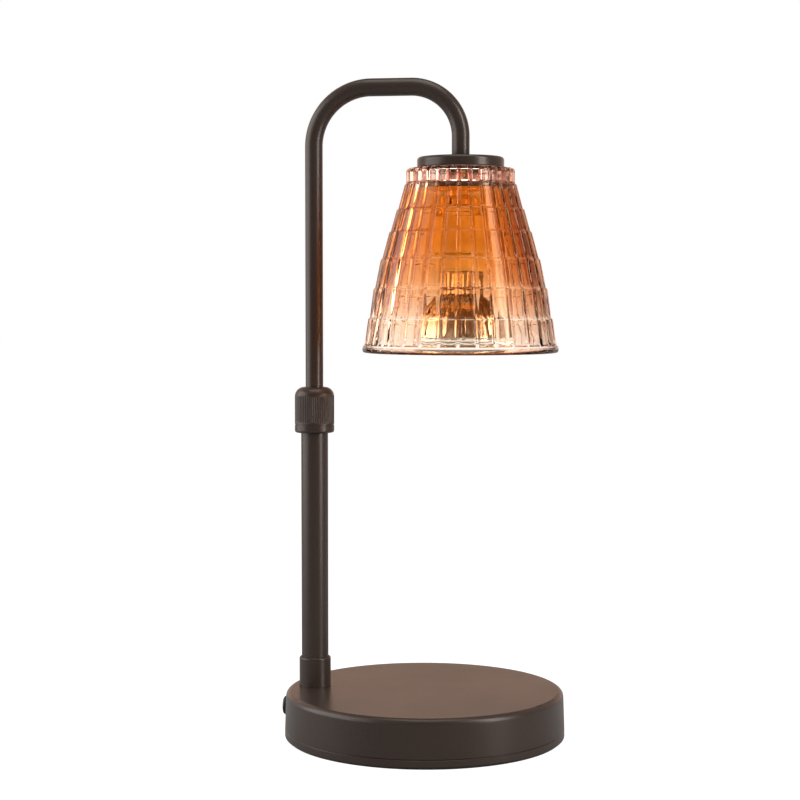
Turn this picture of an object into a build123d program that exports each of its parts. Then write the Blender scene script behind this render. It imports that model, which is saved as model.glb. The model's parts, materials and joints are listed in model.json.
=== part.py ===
import os
from math import sqrt

from build123d import *
from build123d.topology import SkipClean

# A candle warmer lamp: a weighted round base, a telescopic post with a clamp knob, a bent arm tube
# and a faceted glass shade that holds a reflector bulb over the candle. Millimetres, +Z up. The
# origin is the middle of the base's underside, and +X runs from the post towards the shade.

# ---------------------------------------------------------------- clearances
running_fit = 0.05  # radial play of a piece that turns or slides on its guide
seat_fit = 0.1  # radial play of a fixed piece in its hole
moving_gap = 0.35  # play between pieces that pass each other without touching

# ---------------------------------------------------------------- base
base_diameter = 150.0
base_height = 25.5
base_draft = 0.7  # the wall leans in by this much from seam to top
base_edge_radius = 3.0
shell_wall = 1.2
pad_thickness = 0.8
pad_inset = 1.6
tray_band_height = 4.2
tray_plate = 1.6
tray_foot_radius = 0.9
tray_lip_height = 3.0
tray_lip_wall = 1.4
seam_chamfer = 0.35
weight_thickness = 8.0
weight_margin = 1.0
weight_notch_radius = 19.0  # round the post axis
pillar_inset = 25.0  # pillar axis to the base's edge
pillar_count = 3
pillar_diameter = 9.0
base_screw_diameter = 4.0
base_screw_head = 7.0
base_screw_length = 18.0
candle_seat_inset = 6.0  # the candle's place ends this far from the base's edge

# ---------------------------------------------------------------- cord inlet and wiring
gland_height = 14.0
gland_flange_diameter = 10.0
gland_flange_thickness = 2.5
gland_flange_radius = 1.2
gland_barrel_diameter = 8.0
gland_barrel_length = 6.5
gland_bore = 6.2
gland_nut_width = 11.0
gland_nut_thickness = 2.5
gland_nut_setback = 0.6  # the flat nut bridges the curved wall
lead_diameter = 3.2
core_diameter = 1.6
lead_joint_height = 14.5  # above the base top, where the straight post lead starts
lead_dip_start = 9.0  # from the post axis
lead_dip_height = 6.0  # above the tray's floor
lead_bends = (8.0, 8.0, 6.0)
block_length = 18.0
block_width = 14.0
block_height = 9.0
block_place = (29.0, 24.0)  # from the post axis
block_hole = 3.4

# ---------------------------------------------------------------- post
post_inset = 15.0  # post axis to the base's edge
post_tube_diameter = 14.5
post_tube_wall = 1.0
post_tube_length = 145.5
foot_collar_diameter = 17.0
foot_collar_height = 16.0
foot_collar_edge = 0.9
post_plug_height = 12.0
post_nipple_diameter = 10.0
post_nipple_bore = 7.0
post_nipple_tail = 9.5  # below the base top
post_washer_diameter = 19.0
post_washer_thickness = 1.6
post_nut_width = 14.0
post_nut_thickness = 4.5

# ---------------------------------------------------------------- clamp knob and collet
knob_diameter = 21.2
knob_height = 24.5
knob_overlap = 8.0  # over the post tube's end
knob_dome_radius = 5.0
knob_foot_radius = 1.2
knob_roof = 3.4
knob_flute_count = 54
knob_flute_diameter = 0.9
knob_plain_band = 4.0
knob_groove_width = 0.8
knob_groove_depth = 0.4
knob_groove_land = 0.8  # plain strip between the groove and the flutes
collet_stem_length = 14.0
collet_flange = 1.0
collet_spigot_diameter = 13.6
collet_cone_depth = 4.0
collet_cone_mouth = 12.4
grip_ring_head = 3.2  # height of the grip ring above the collet
grip_ring_depth = 2.4  # how far it reaches into the cone
grip_ring_slit = 1.2

# ---------------------------------------------------------------- arm
arm_reach = 79.0  # post axis to shade axis
lamp_height = 351.6
drop_length = 40.9  # from the arch's top to the washer over the shade's cap
arm_tube_diameter = 9.5
arm_tube_wall = 0.9
arm_overlap = 51.0  # length of the arm inside the post
post_bend_radius = 31.0
drop_bend_radius = 26.5
guide_bush_height = 12.0
guide_bush_lip = 2.0

# ---------------------------------------------------------------- glass shade
tile_count = 32
crown_radius = 28.9
crown_band = 8.0
crown_chamfer = 1.6
crown_thickness = 7.5
crown_bore = 12.0
tier_heights = (13.2, 11.8, 14.3, 15.4, 15.9, 14.5)
tier_flares = (3.3, 3.1, 3.6, 2.9, 2.0, 1.9)
tier_step = 0.9  # each tier stands this much prouder than the one above
rim_height = 4.0
rim_edge_radius = 1.2
glass_wall = 3.0
bell_bulge = 0.9  # the inner curve stands this far outside a straight line

# ---------------------------------------------------------------- shade cap and clamp
cap_diameter = 46.0
cap_height = 5.5
cap_wall = 1.2
cap_edge_radius = 1.8
drop_washer_diameter = 12.6
drop_washer_thickness = 1.2
hanger_nipple_diameter = 7.6
hanger_nipple_bore = 5.2
hanger_nipple_grip = 11.0  # length inside the arm tube
hanger_nipple_tail = 1.6
upper_gasket_thickness = 0.5
upper_gasket_inset = 0.8
lower_gasket_thickness = 0.8
lower_gasket_diameter = 44.0
clamp_disc_diameter = 48.0
clamp_disc_thickness = 2.4
clamp_disc_edge = 0.8
hanger_nut_width = 13.0
hanger_nut_thickness = 4.0

# ---------------------------------------------------------------- lamp holder and bulb
bracket_thickness = 1.2
bracket_width = 11.0
bracket_rise = 9.6  # between the feet and the top plate
bracket_bend = 0.4  # inner radius of the strap's bends
bracket_nut_room = 0.6
bracket_foot_length = 6.0
holder_diameter = 28.5
holder_height = 20.0
holder_floor = 5.0
holder_chamber_diameter = 21.0
holder_chamber_height = 8.5
holder_edge = 1.0
holder_screw_diameter = 2.5
holder_screw_head = 4.0
holder_screw_head_height = 1.8
holder_screw_length = 6.0
contact_width = 4.0
contact_thickness = 0.6
pin_circle_radius = 5.0
pin_diameter = 3.0
pin_head_diameter = 5.0
pin_head_height = 2.2
twist_angle = 20.0
bulb_diameter = 50.0
bulb_rim_height = 3.6
bulb_rim_wall = 1.1
bulb_body_height = 35.4
bulb_neck_diameter = 26.0
bulb_neck_height = 8.0
bulb_neck_chamfer = 1.6
reflector_neck_height = 11.0  # straight mirrored neck above the bowl
reflector_wall = 1.2
reflector_bulge = 3.2
lens_thickness = 2.0
lens_setback = 0.6
burner_diameter = 9.0
burner_length = 20.0

# ---------------------------------------------------------------- heights and places worked out
base_radius = base_diameter / 2
post_x = post_inset - base_radius
shade_x = post_x + arm_reach
pillar_circle_radius = base_radius - pillar_inset
candle_seat_radius = base_radius - shade_x - candle_seat_inset

base_top = base_height
base_ceiling = base_top - shell_wall
tray_floor = pad_thickness + tray_plate
seam_z = pad_thickness + tray_band_height
weight_top = tray_floor + weight_thickness

post_top = base_top + post_tube_length
post_bore = post_tube_diameter - 2 * post_tube_wall
post_washer_z = base_ceiling - post_washer_thickness
post_nut_z = post_washer_z - post_nut_thickness
post_nipple_z = base_top - post_nipple_tail
lead_joint_z = base_top + lead_joint_height

knob_z = post_top - knob_overlap
knob_top = knob_z + knob_height
knob_ceiling = knob_top - knob_roof
spigot_z = post_top + collet_flange
spigot_top = knob_ceiling - grip_ring_head - moving_gap
arm_passage = arm_tube_diameter + 2 * moving_gap

arm_z = post_top - arm_overlap
arch_z = lamp_height - arm_tube_diameter / 2

drop_end = lamp_height - drop_length
cap_top = drop_end - drop_washer_thickness
cap_z = cap_top - cap_height
glass_top = cap_z - upper_gasket_thickness
tier_top = glass_top - crown_band
mouth_height = tier_top - sum(tier_heights) - rim_height
crown_underside = glass_top - crown_thickness
clamp_disc_z = crown_underside - lower_gasket_thickness - clamp_disc_thickness
disc_nut_z = clamp_disc_z - hanger_nut_thickness
bracket_top = disc_nut_z
bracket_nut_z = bracket_top - bracket_thickness - hanger_nut_thickness
hanger_nipple_z = bracket_nut_z - hanger_nipple_tail
holder_top = bracket_top - bracket_thickness - bracket_rise
holder_z = holder_top - holder_height
chamber_z = holder_z + holder_floor

neck_top = holder_z - moving_gap
neck_z = neck_top - bulb_neck_height
bulb_z = neck_z - bulb_body_height - bulb_rim_height
hanger_hole = hanger_nipple_diameter + 2 * seat_fit


# ---------------------------------------------------------------- planes and common profiles
def upright(x):
    """Section plane through the vertical axis at x: local x is the radius and local y the height."""
    return Plane(origin=(x, 0, 0), x_dir=(1, 0, 0), z_dir=(0, -1, 0))


def level(x, z):
    """Horizontal plane at height z, centred on the vertical axis at x."""
    return Plane(origin=(x, 0, z))


def vertical(x):
    """Vertical axis at x."""
    return Axis((x, 0, 0), (0, 0, 1))


def disc(x, z, diameter, bore=0.0):
    """Flat disc or ring, the blank of every plain turned piece."""
    with BuildSketch(level(x, z)) as profile:
        Circle(diameter / 2)
        if bore:
            Circle(bore / 2, mode=Mode.SUBTRACT)
    return profile.sketch


def hexagon(plane, width, bore):
    """Nut blank: width is across the flats."""
    with BuildSketch(plane) as profile:
        RegularPolygon(width / 2, 6, major_radius=False)
        Circle(bore / 2, mode=Mode.SUBTRACT)
    return profile.sketch


def wall_radius(z):
    """Outer radius of the base's drafted wall at height z."""
    return base_radius - base_draft * (z - seam_z) / (base_top - seam_z)


# ================================================================ base
with BuildPart() as base_pad:
    extrude(disc(0, 0, base_diameter - 2 * pad_inset), amount=pad_thickness)

# The tray closes the base from below: its band shows under the seam and its lip fits in the shell.
lip_radius = wall_radius(seam_z + tray_lip_height) - shell_wall - seat_fit
underside = Plane(origin=(0, 0, pad_thickness), x_dir=(1, 0, 0), z_dir=(0, 0, -1))
with BuildPart() as base_tray:
    with BuildSketch(Plane.XZ):
        with BuildLine():
            Polyline(
                (0, pad_thickness),
                (base_radius, pad_thickness),
                (base_radius, seam_z),
                (lip_radius, seam_z),
                (lip_radius, seam_z + tray_lip_height),
                (lip_radius - tray_lip_wall, seam_z + tray_lip_height),
                (lip_radius - tray_lip_wall, tray_floor),
                (0, tray_floor),
                close=True,
            )
        make_face()
    revolve(axis=Axis.Z)
    widest = base_tray.edges().filter_by(GeomType.CIRCLE).group_by(SortBy.RADIUS)[-1]
    chamfer(widest.sort_by(Axis.Z)[-1], seam_chamfer)
    fillet(widest.sort_by(Axis.Z)[0], tray_foot_radius)
    with Locations(underside):
        with PolarLocations(pillar_circle_radius, pillar_count):
            CounterSinkHole(
                base_screw_diameter / 2 + seat_fit,
                base_screw_head / 2 + seat_fit,
                depth=tray_plate,
                counter_sink_angle=90,
            )

# Pressed steel shell: drafted wall, rounded top edge, open below.
with BuildPart() as base_shell:
    top_radius = wall_radius(base_top)
    with BuildSketch(Plane.XZ):
        with BuildLine():
            outside = FilletPolyline(
                (0, base_top), (top_radius, base_top), (base_radius, seam_z), radius=base_edge_radius
            )
            inside = FilletPolyline(
                (base_radius - shell_wall, seam_z),
                (top_radius - shell_wall, base_ceiling),
                (0, base_ceiling),
                radius=base_edge_radius - shell_wall,
            )
            Line(outside @ 1, inside @ 0)
            Line(inside @ 1, outside @ 0)
        make_face()
    revolve(axis=Axis.Z)
    widest = base_shell.edges().filter_by(GeomType.CIRCLE).sort_by(SortBy.RADIUS)[-1]
    chamfer(widest, seam_chamfer)
    with Locations((post_x, 0, base_top)):
        Hole(post_nipple_diameter / 2 + seat_fit, depth=2 * shell_wall)
    with BuildSketch(Plane(origin=(-base_radius, 0, gland_height), z_dir=(1, 0, 0))):
        Circle(gland_barrel_diameter / 2 + seat_fit)
    extrude(amount=gland_barrel_length, both=True, mode=Mode.SUBTRACT)
    # The candle's place is a face of its own, flush with the rest of the top.
    candle_seat = disc(shade_x, base_ceiling, 2 * candle_seat_radius)
    extrude(candle_seat, amount=shell_wall, mode=Mode.SUBTRACT)
    with SkipClean():
        extrude(candle_seat, amount=shell_wall)

# Cast weight on the tray, notched round the post's nut and the cord gland.
with BuildPart() as base_weight:
    extrude(
        disc(0, tray_floor, 2 * (lip_radius - tray_lip_wall - weight_margin)), amount=weight_thickness
    )
    chamfer(base_weight.edges().filter_by(GeomType.CIRCLE).sort_by(Axis.Z)[-1], weight_margin)
    with Locations((post_x, 0, weight_top)):
        Hole(weight_notch_radius, depth=weight_thickness)
    with Locations((0, 0, weight_top)):
        with PolarLocations(pillar_circle_radius, pillar_count):
            Hole(base_screw_diameter / 2 + seat_fit, depth=weight_thickness)

# Pillars welded under the shell take the screws that come up through tray and weight.
with BuildPart() as shell_pillars:
    with BuildSketch(level(0, weight_top)):
        with PolarLocations(pillar_circle_radius, pillar_count):
            Circle(pillar_diameter / 2)
            Circle(base_screw_diameter / 2 + running_fit, mode=Mode.SUBTRACT)
    extrude(amount=base_ceiling - weight_top)

with BuildPart() as base_screws:
    head_height = (base_screw_head - base_screw_diameter) / 2
    with BuildSketch(level(0, pad_thickness)):
        with PolarLocations(pillar_circle_radius, pillar_count):
            Circle(base_screw_head / 2)
    extrude(amount=head_height, taper=45)
    with BuildSketch(level(0, pad_thickness + head_height)):
        with PolarLocations(pillar_circle_radius, pillar_count):
            Circle(base_screw_diameter / 2)
    extrude(amount=base_screw_length - head_height)

# ================================================================ cord inlet and wiring
gland_face = -wall_radius(gland_height - gland_flange_diameter / 2)
gland_axis = Axis((gland_face, 0, gland_height), (-1, 0, 0))
gland_section = Plane(origin=(gland_face, 0, gland_height), x_dir=(-1, 0, 0), z_dir=(0, 1, 0))
with BuildPart() as cord_gland:
    with BuildSketch(gland_section):
        with BuildLine():
            Polyline(
                (-gland_barrel_length, gland_bore / 2),
                (gland_flange_thickness, gland_bore / 2),
                (gland_flange_thickness, gland_flange_diameter / 2),
                (0, gland_flange_diameter / 2),
                (0, gland_barrel_diameter / 2),
                (-gland_barrel_length, gland_barrel_diameter / 2),
                close=True,
            )
        make_face()
    revolve(axis=gland_axis)
    front = cord_gland.edges().filter_by(GeomType.CIRCLE).group_by(Axis.X)[0]
    fillet(front.sort_by(SortBy.RADIUS)[-1], gland_flange_radius)

nut_seat = -(wall_radius(gland_height) - shell_wall) + gland_nut_setback
with BuildPart() as gland_nut:
    seat_plane = Plane(origin=(nut_seat, 0, gland_height), x_dir=(0, 1, 0), z_dir=(1, 0, 0))
    extrude(
        hexagon(seat_plane, gland_nut_width, gland_barrel_diameter + 2 * seat_fit),
        amount=gland_nut_thickness,
    )

# Two-way terminal block on the weight, where the cord meets the lamp's own wiring.
block_x = post_x + block_place[0]
block_y = block_place[1]
block_middle = weight_top + block_height / 2
with BuildPart() as terminal_block:
    with BuildSketch(Plane(origin=(block_x, block_y, weight_top))):
        Rectangle(block_length, block_width)
    extrude(amount=block_height)
    fillet(terminal_block.edges().filter_by(Axis.Z), weight_margin)
    with Locations(
        Plane(origin=(block_x + block_length / 2, block_y, block_middle), z_dir=(1, 0, 0))
    ):
        with GridLocations(block_width / 2, 1, 2, 1):
            Hole(block_hole / 2)
    with Locations((block_x, block_y, weight_top + block_height)):
        with GridLocations(block_length / 2, block_width / 2, 2, 2):
            Hole(block_hole / 2, depth=block_height / 3)

# The lamp's lead leaves the block, dips under the post's nipple and rises through it.
lead_dip = tray_floor + lead_dip_height
with BuildPart() as base_lead:
    with BuildLine() as base_route:
        FilletPolyline(
            (block_x - block_length / 2, block_y, block_middle),
            (post_x, block_y, block_middle),
            (post_x, lead_dip_start, lead_dip),
            (post_x, 0, lead_dip),
            (post_x, 0, lead_joint_z),
            radius=lead_bends,
        )
    with BuildSketch(Plane(origin=base_route.line @ 0, z_dir=base_route.line % 0)):
        Circle(lead_diameter / 2)
    sweep(path=base_route.line)

# Slack straight stretch inside the post: it shortens and lengthens with the arm.
with BuildPart() as post_lead:
    lead_stop = arm_z - guide_bush_lip - moving_gap
    extrude(disc(post_x, lead_joint_z, lead_diameter), amount=lead_stop - lead_joint_z)

# ================================================================ post
with BuildPart() as foot_collar:
    extrude(
        disc(post_x, base_top, foot_collar_diameter, post_tube_diameter + 2 * seat_fit),
        amount=foot_collar_height,
    )
    upper = foot_collar.edges().filter_by(GeomType.CIRCLE).group_by(Axis.Z)[-1]
    fillet(upper.sort_by(SortBy.RADIUS)[-1], foot_collar_edge)

with BuildPart() as post_tube:
    extrude(disc(post_x, base_top, post_tube_diameter, post_bore), amount=post_tube_length)

with BuildPart() as post_plug:
    extrude(
        disc(post_x, base_top, post_bore - 2 * running_fit, post_nipple_diameter + 2 * running_fit),
        amount=post_plug_height,
    )

with BuildPart() as post_nipple:
    extrude(
        disc(post_x, post_nipple_z, post_nipple_diameter, post_nipple_bore),
        amount=base_top + post_plug_height - post_nipple_z,
    )

with BuildPart() as post_washer:
    extrude(
        disc(post_x, post_washer_z, post_washer_diameter, post_nipple_diameter + 2 * seat_fit),
        amount=post_washer_thickness,
    )

with BuildPart() as post_nut:
    extrude(
        hexagon(level(post_x, post_nut_z), post_nut_width, post_nipple_diameter + 2 * running_fit),
        amount=post_nut_thickness,
    )

# ================================================================ clamp knob and collet
# Collet seat: a stem pressed in the post's end, a flange on its rim and a spigot with a cone mouth.
with BuildPart() as collet_seat:
    cone_z = spigot_top - collet_cone_depth
    with BuildSketch(upright(post_x)):
        with BuildLine():
            Polyline(
                (arm_passage / 2, post_top - collet_stem_length),
                (post_bore / 2 - running_fit, post_top - collet_stem_length),
                (post_bore / 2 - running_fit, post_top),
                (post_tube_diameter / 2, post_top),
                (post_tube_diameter / 2, spigot_z),
                (collet_spigot_diameter / 2, spigot_z),
                (collet_spigot_diameter / 2, spigot_top),
                (collet_cone_mouth / 2, spigot_top),
                (arm_passage / 2, cone_z),
                close=True,
            )
        make_face()
    revolve(axis=vertical(post_x))

# Grip ring: a split cone that the knob presses into the seat, so that it bites on the arm tube.
with BuildPart() as grip_ring:
    cone_slope = (collet_cone_mouth - arm_passage) / 2 / collet_cone_depth
    ring_foot = spigot_top - grip_ring_depth
    ring_inside = arm_tube_diameter / 2 + running_fit
    ring_outside = collet_cone_mouth / 2 - moving_gap
    with BuildSketch(upright(post_x)):
        with BuildLine():
            Polyline(
                (ring_inside, ring_foot),
                (ring_outside - cone_slope * (spigot_top - ring_foot), ring_foot),
                (ring_outside, spigot_top),
                (ring_outside, spigot_top + grip_ring_head),
                (ring_inside, spigot_top + grip_ring_head),
                close=True,
            )
        make_face()
    revolve(axis=vertical(post_x))
    with BuildSketch(Plane(origin=(post_x, 0, ring_foot))):
        with Locations((collet_cone_mouth / 2, 0)):
            Rectangle(collet_cone_mouth, grip_ring_slit)
    extrude(amount=knob_height, mode=Mode.SUBTRACT)

# Clamp knob: domed top, fluted grip, a fine groove over the plain band at its foot.
with BuildPart() as lock_knob:
    post_clear = post_tube_diameter / 2 + moving_gap
    spigot_clear = collet_spigot_diameter / 2 + moving_gap
    step_z = spigot_z + moving_gap
    with BuildSketch(upright(post_x)):
        with BuildLine():
            knob_outside = FilletPolyline(
                (post_clear, knob_z),
                (knob_diameter / 2, knob_z),
                (knob_diameter / 2, knob_top),
                (arm_passage / 2, knob_top),
                radius=[knob_foot_radius, knob_dome_radius],
            )
            Polyline(
                knob_outside @ 1,
                (arm_passage / 2, knob_ceiling),
                (spigot_clear, knob_ceiling),
                (spigot_clear, step_z),
                (post_clear, step_z),
                knob_outside @ 0,
            )
        make_face()
    revolve(axis=vertical(post_x))
    groove_z = knob_z + knob_plain_band
    extrude(
        disc(
            post_x,
            groove_z,
            knob_diameter + knob_groove_depth,
            knob_diameter - 2 * knob_groove_depth,
        ),
        amount=knob_groove_width,
        mode=Mode.SUBTRACT,
    )
    flute_z = groove_z + knob_groove_width + knob_groove_land
    with BuildSketch(level(post_x, flute_z)):
        with PolarLocations(knob_diameter / 2, knob_flute_count):
            Circle(knob_flute_diameter / 2)
    extrude(amount=knob_top - knob_dome_radius - flute_z, mode=Mode.SUBTRACT)

# ================================================================ arm
# The arm is one tube bent twice: a long leg that slides in the post, an arch and a short drop.
with BuildPart() as arm_tube:
    with BuildLine(Plane.XZ) as arm_route:
        FilletPolyline(
            (post_x, arm_z),
            (post_x, arch_z),
            (shade_x, arch_z),
            (shade_x, drop_end),
            radius=[post_bend_radius, drop_bend_radius],
        )
    with BuildSketch(level(post_x, arm_z)):
        Circle(arm_tube_diameter / 2)
        Circle(arm_tube_diameter / 2 - arm_tube_wall, mode=Mode.SUBTRACT)
    sweep(path=arm_route.line)

# Plastic bush that guides the arm's lower end in the post; its lip catches the tube's rim.
with BuildPart() as guide_bush:
    bush_radius = post_bore / 2 - running_fit
    with BuildSketch(upright(post_x)):
        with BuildLine():
            Polyline(
                (arm_tube_diameter / 2 - arm_tube_wall, arm_z - guide_bush_lip),
                (bush_radius, arm_z - guide_bush_lip),
                (bush_radius, arm_z - guide_bush_lip + guide_bush_height),
                (arm_tube_diameter / 2 + running_fit, arm_z - guide_bush_lip + guide_bush_height),
                (arm_tube_diameter / 2 + running_fit, arm_z),
                (arm_tube_diameter / 2 - arm_tube_wall, arm_z),
                close=True,
            )
        make_face()
    revolve(axis=vertical(post_x))

with BuildPart() as arm_lead:
    with BuildLine(Plane.XZ) as lead_route:
        FilletPolyline(
            (post_x, arm_z - guide_bush_lip),
            (post_x, arch_z),
            (shade_x, arch_z),
            (shade_x, hanger_nipple_z),
            radius=[post_bend_radius, drop_bend_radius],
        )
    with BuildSketch(level(post_x, arm_z - guide_bush_lip)):
        Circle(lead_diameter / 2)
    sweep(path=lead_route.line)

# ================================================================ glass shade
# Pressed glass bell: rings of flat tiles outside, each ring a step prouder than the one above, and
# one smooth curve inside. The crown is a thick faceted band and the rim a plain round bead.
tile_levels = [(glass_top - crown_chamfer, crown_radius), (tier_top, crown_radius)]
tile_radius = crown_radius
tile_z = tier_top
for tier_height, tier_flare in zip(tier_heights, tier_flares):
    tile_radius += tier_step
    tile_levels.append((tile_z - tier_step, tile_radius))
    tile_radius += tier_flare
    tile_z -= tier_height
    tile_levels.append((tile_z, tile_radius))
rim_radius = tile_radius + tier_step
inner_crown_radius = crown_radius + tier_step - glass_wall
inner_mouth_radius = rim_radius - glass_wall
middle_z = (crown_underside + mouth_height) / 2
middle_radius = (inner_crown_radius + inner_mouth_radius) / 2 + bell_bulge
with BuildPart() as shade_glass:
    for tile_level, corner_radius in tile_levels:
        with BuildSketch(level(shade_x, tile_level)):
            RegularPolygon(corner_radius, tile_count, rotation=180 / tile_count)
    loft(ruled=True)
    with BuildSketch(upright(shade_x)):
        with BuildLine():
            bead = FilletPolyline(
                (0, mouth_height),
                (rim_radius, mouth_height),
                (rim_radius, mouth_height + rim_height),
                (0, mouth_height + rim_height),
                radius=rim_edge_radius,
            )
            Line(bead @ 1, bead @ 0)
        make_face()
    revolve(axis=vertical(shade_x))
    top_plane = level(shade_x, glass_top - crown_chamfer)
    with BuildSketch(top_plane):
        RegularPolygon(crown_radius, tile_count, rotation=180 / tile_count)
    extrude(amount=crown_chamfer, taper=45)
    with BuildSketch(upright(shade_x)):
        with BuildLine():
            bell = ThreePointArc(
                (inner_crown_radius, crown_underside),
                (middle_radius, middle_z),
                (inner_mouth_radius, mouth_height),
            )
            Polyline(bell @ 1, (0, mouth_height), (0, crown_underside), bell @ 0)
        make_face()
    revolve(axis=vertical(shade_x), mode=Mode.SUBTRACT)
    with Locations((shade_x, 0, glass_top)):
        Hole(crown_bore / 2, depth=2 * crown_thickness)

# ================================================================ shade cap and clamp
with BuildPart() as drop_washer:
    extrude(
        disc(shade_x, cap_top, drop_washer_diameter, hanger_hole), amount=drop_washer_thickness
    )
    upper = drop_washer.edges().filter_by(GeomType.CIRCLE).group_by(Axis.Z)[-1]
    fillet(upper.sort_by(SortBy.RADIUS)[-1], drop_washer_thickness / 2)

# Spun cap: a flat cup, open below, whose rim stands on the gasket.
with BuildPart() as shade_cap:
    cap_radius = cap_diameter / 2
    with BuildSketch(upright(shade_x)):
        with BuildLine():
            outside = FilletPolyline(
                (hanger_hole / 2, cap_top), (cap_radius, cap_top), (cap_radius, cap_z),
                radius=cap_edge_radius,
            )
            inside = FilletPolyline(
                (cap_radius - cap_wall, cap_z),
                (cap_radius - cap_wall, cap_top - cap_wall),
                (hanger_hole / 2, cap_top - cap_wall),
                radius=cap_edge_radius - cap_wall,
            )
            Line(outside @ 1, inside @ 0)
            Line(inside @ 1, outside @ 0)
        make_face()
    revolve(axis=vertical(shade_x))

with BuildPart() as upper_gasket:
    extrude(
        disc(shade_x, glass_top, cap_diameter - 2 * upper_gasket_inset, crown_bore),
        amount=upper_gasket_thickness,
    )

with BuildPart() as lower_gasket:
    extrude(
        disc(shade_x, crown_underside - lower_gasket_thickness, lower_gasket_diameter, crown_bore),
        amount=lower_gasket_thickness,
    )

with BuildPart() as clamp_disc:
    extrude(
        disc(shade_x, clamp_disc_z, clamp_disc_diameter, hanger_hole), amount=clamp_disc_thickness
    )
    lower = clamp_disc.edges().filter_by(GeomType.CIRCLE).group_by(Axis.Z)[0]
    chamfer(lower.sort_by(SortBy.RADIUS)[-1], clamp_disc_edge)

# Hollow threaded nipple in the tube's end: cap, glass, disc and bracket all hang on it.
with BuildPart() as hanger_nipple:
    extrude(
        disc(shade_x, hanger_nipple_z, hanger_nipple_diameter, hanger_nipple_bore),
        amount=drop_end + hanger_nipple_grip - hanger_nipple_z,
    )

with BuildPart() as disc_nut:
    extrude(
        hexagon(
            level(shade_x, disc_nut_z), hanger_nut_width, hanger_nipple_diameter + 2 * running_fit
        ),
        amount=hanger_nut_thickness,
    )

with BuildPart() as bracket_nut:
    extrude(
        hexagon(
            level(shade_x, bracket_nut_z), hanger_nut_width, hanger_nipple_diameter + 2 * running_fit
        ),
        amount=hanger_nut_thickness,
    )

# ================================================================ lamp holder
# Hat-shaped strap: its crown hangs on the nipple and its two feet carry the ceramic holder.
bracket_half = hanger_nut_width / sqrt(3) + bracket_nut_room + bracket_thickness
foot_half = bracket_half + bracket_foot_length - bracket_thickness
screw_offset = bracket_half + (bracket_foot_length - bracket_thickness) / 2
with BuildPart() as holder_bracket:
    with BuildSketch(upright(shade_x)):
        with BuildLine():
            outside = FilletPolyline(
                (0, bracket_top),
                (bracket_half, bracket_top),
                (bracket_half, holder_top + bracket_thickness),
                (foot_half, holder_top + bracket_thickness),
                radius=[bracket_bend + bracket_thickness, bracket_bend],
            )
            inside = FilletPolyline(
                (0, bracket_top - bracket_thickness),
                (bracket_half - bracket_thickness, bracket_top - bracket_thickness),
                (bracket_half - bracket_thickness, holder_top),
                (foot_half, holder_top),
                radius=[bracket_bend, bracket_bend + bracket_thickness],
            )
            Line(outside @ 1, inside @ 1)
            mirror(about=Plane.YZ)
        make_face()
    extrude(amount=bracket_width / 2, both=True)
    with Locations((shade_x, 0, bracket_top)):
        Hole(hanger_hole / 2, depth=2 * bracket_thickness)
    with Locations((shade_x, 0, holder_top + bracket_thickness)):
        with GridLocations(2 * screw_offset, 1, 2, 1):
            Hole(holder_screw_diameter / 2 + seat_fit, depth=2 * bracket_thickness)

with BuildPart() as holder_screws:
    with BuildSketch(level(shade_x, holder_top + bracket_thickness)):
        with GridLocations(2 * screw_offset, 1, 2, 1):
            Circle(holder_screw_head / 2)
    extrude(amount=holder_screw_head_height)
    fillet(
        holder_screws.edges().filter_by(GeomType.CIRCLE).group_by(Axis.Z)[-1],
        holder_screw_head_height / 3,
    )
    with BuildSketch(level(shade_x, holder_top + bracket_thickness)):
        with GridLocations(2 * screw_offset, 1, 2, 1):
            Circle(holder_screw_diameter / 2)
    extrude(amount=-holder_screw_length)

# Ceramic holder: a chamber over a floor with two key-shaped arcs, wide where the pin heads enter
# and narrow where they lock.
slot_width = pin_diameter + 2 * moving_gap
head_entry = pin_head_diameter + 2 * moving_gap
slot_path = CenterArc((0, 0), pin_circle_radius, 0, twist_angle)
with BuildPart() as lamp_holder:
    extrude(disc(shade_x, holder_z, holder_diameter), amount=holder_height)
    fillet(lamp_holder.edges().filter_by(GeomType.CIRCLE), holder_edge)
    extrude(
        disc(shade_x, chamber_z, holder_chamber_diameter),
        amount=holder_chamber_height,
        mode=Mode.SUBTRACT,
    )
    with BuildSketch(level(shade_x, holder_z)):
        with PolarLocations(0, 2):
            SlotArc(slot_path, slot_width)
        with PolarLocations(pin_circle_radius, 2, start_angle=twist_angle):
            Circle(head_entry / 2)
    extrude(amount=holder_floor, mode=Mode.SUBTRACT)
    with Locations((shade_x, 0, holder_top)):
        with GridLocations(2 * screw_offset, 1, 2, 1):
            Hole(holder_screw_diameter / 2 + running_fit, depth=holder_screw_length)
        with GridLocations(1, 2 * core_diameter, 1, 2):
            Hole(core_diameter / 2 + running_fit, depth=holder_height / 2)

# Two spring leaves under the chamber's roof, one over each pin head.
contact_roof = chamber_z + holder_chamber_height
pin_head_z = chamber_z + moving_gap
leaf_z = pin_head_z + pin_head_height + moving_gap
leaf_inside = pin_circle_radius - pin_head_diameter / 2
leaf_outside = pin_circle_radius + pin_head_diameter / 2
with BuildPart() as holder_contacts:
    with BuildSketch(upright(shade_x)):
        with BuildLine():
            Polyline(
                (leaf_inside, contact_roof),
                (leaf_outside, contact_roof),
                (leaf_outside, contact_roof - contact_thickness),
                (leaf_inside + contact_thickness, contact_roof - contact_thickness),
                (leaf_inside + contact_thickness, leaf_z + contact_thickness),
                (leaf_outside, leaf_z + contact_thickness),
                (leaf_outside, leaf_z),
                (leaf_inside, leaf_z),
                close=True,
            )
        make_face()
        mirror(about=Plane.YZ)
    extrude(amount=contact_width / 2, both=True)

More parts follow.
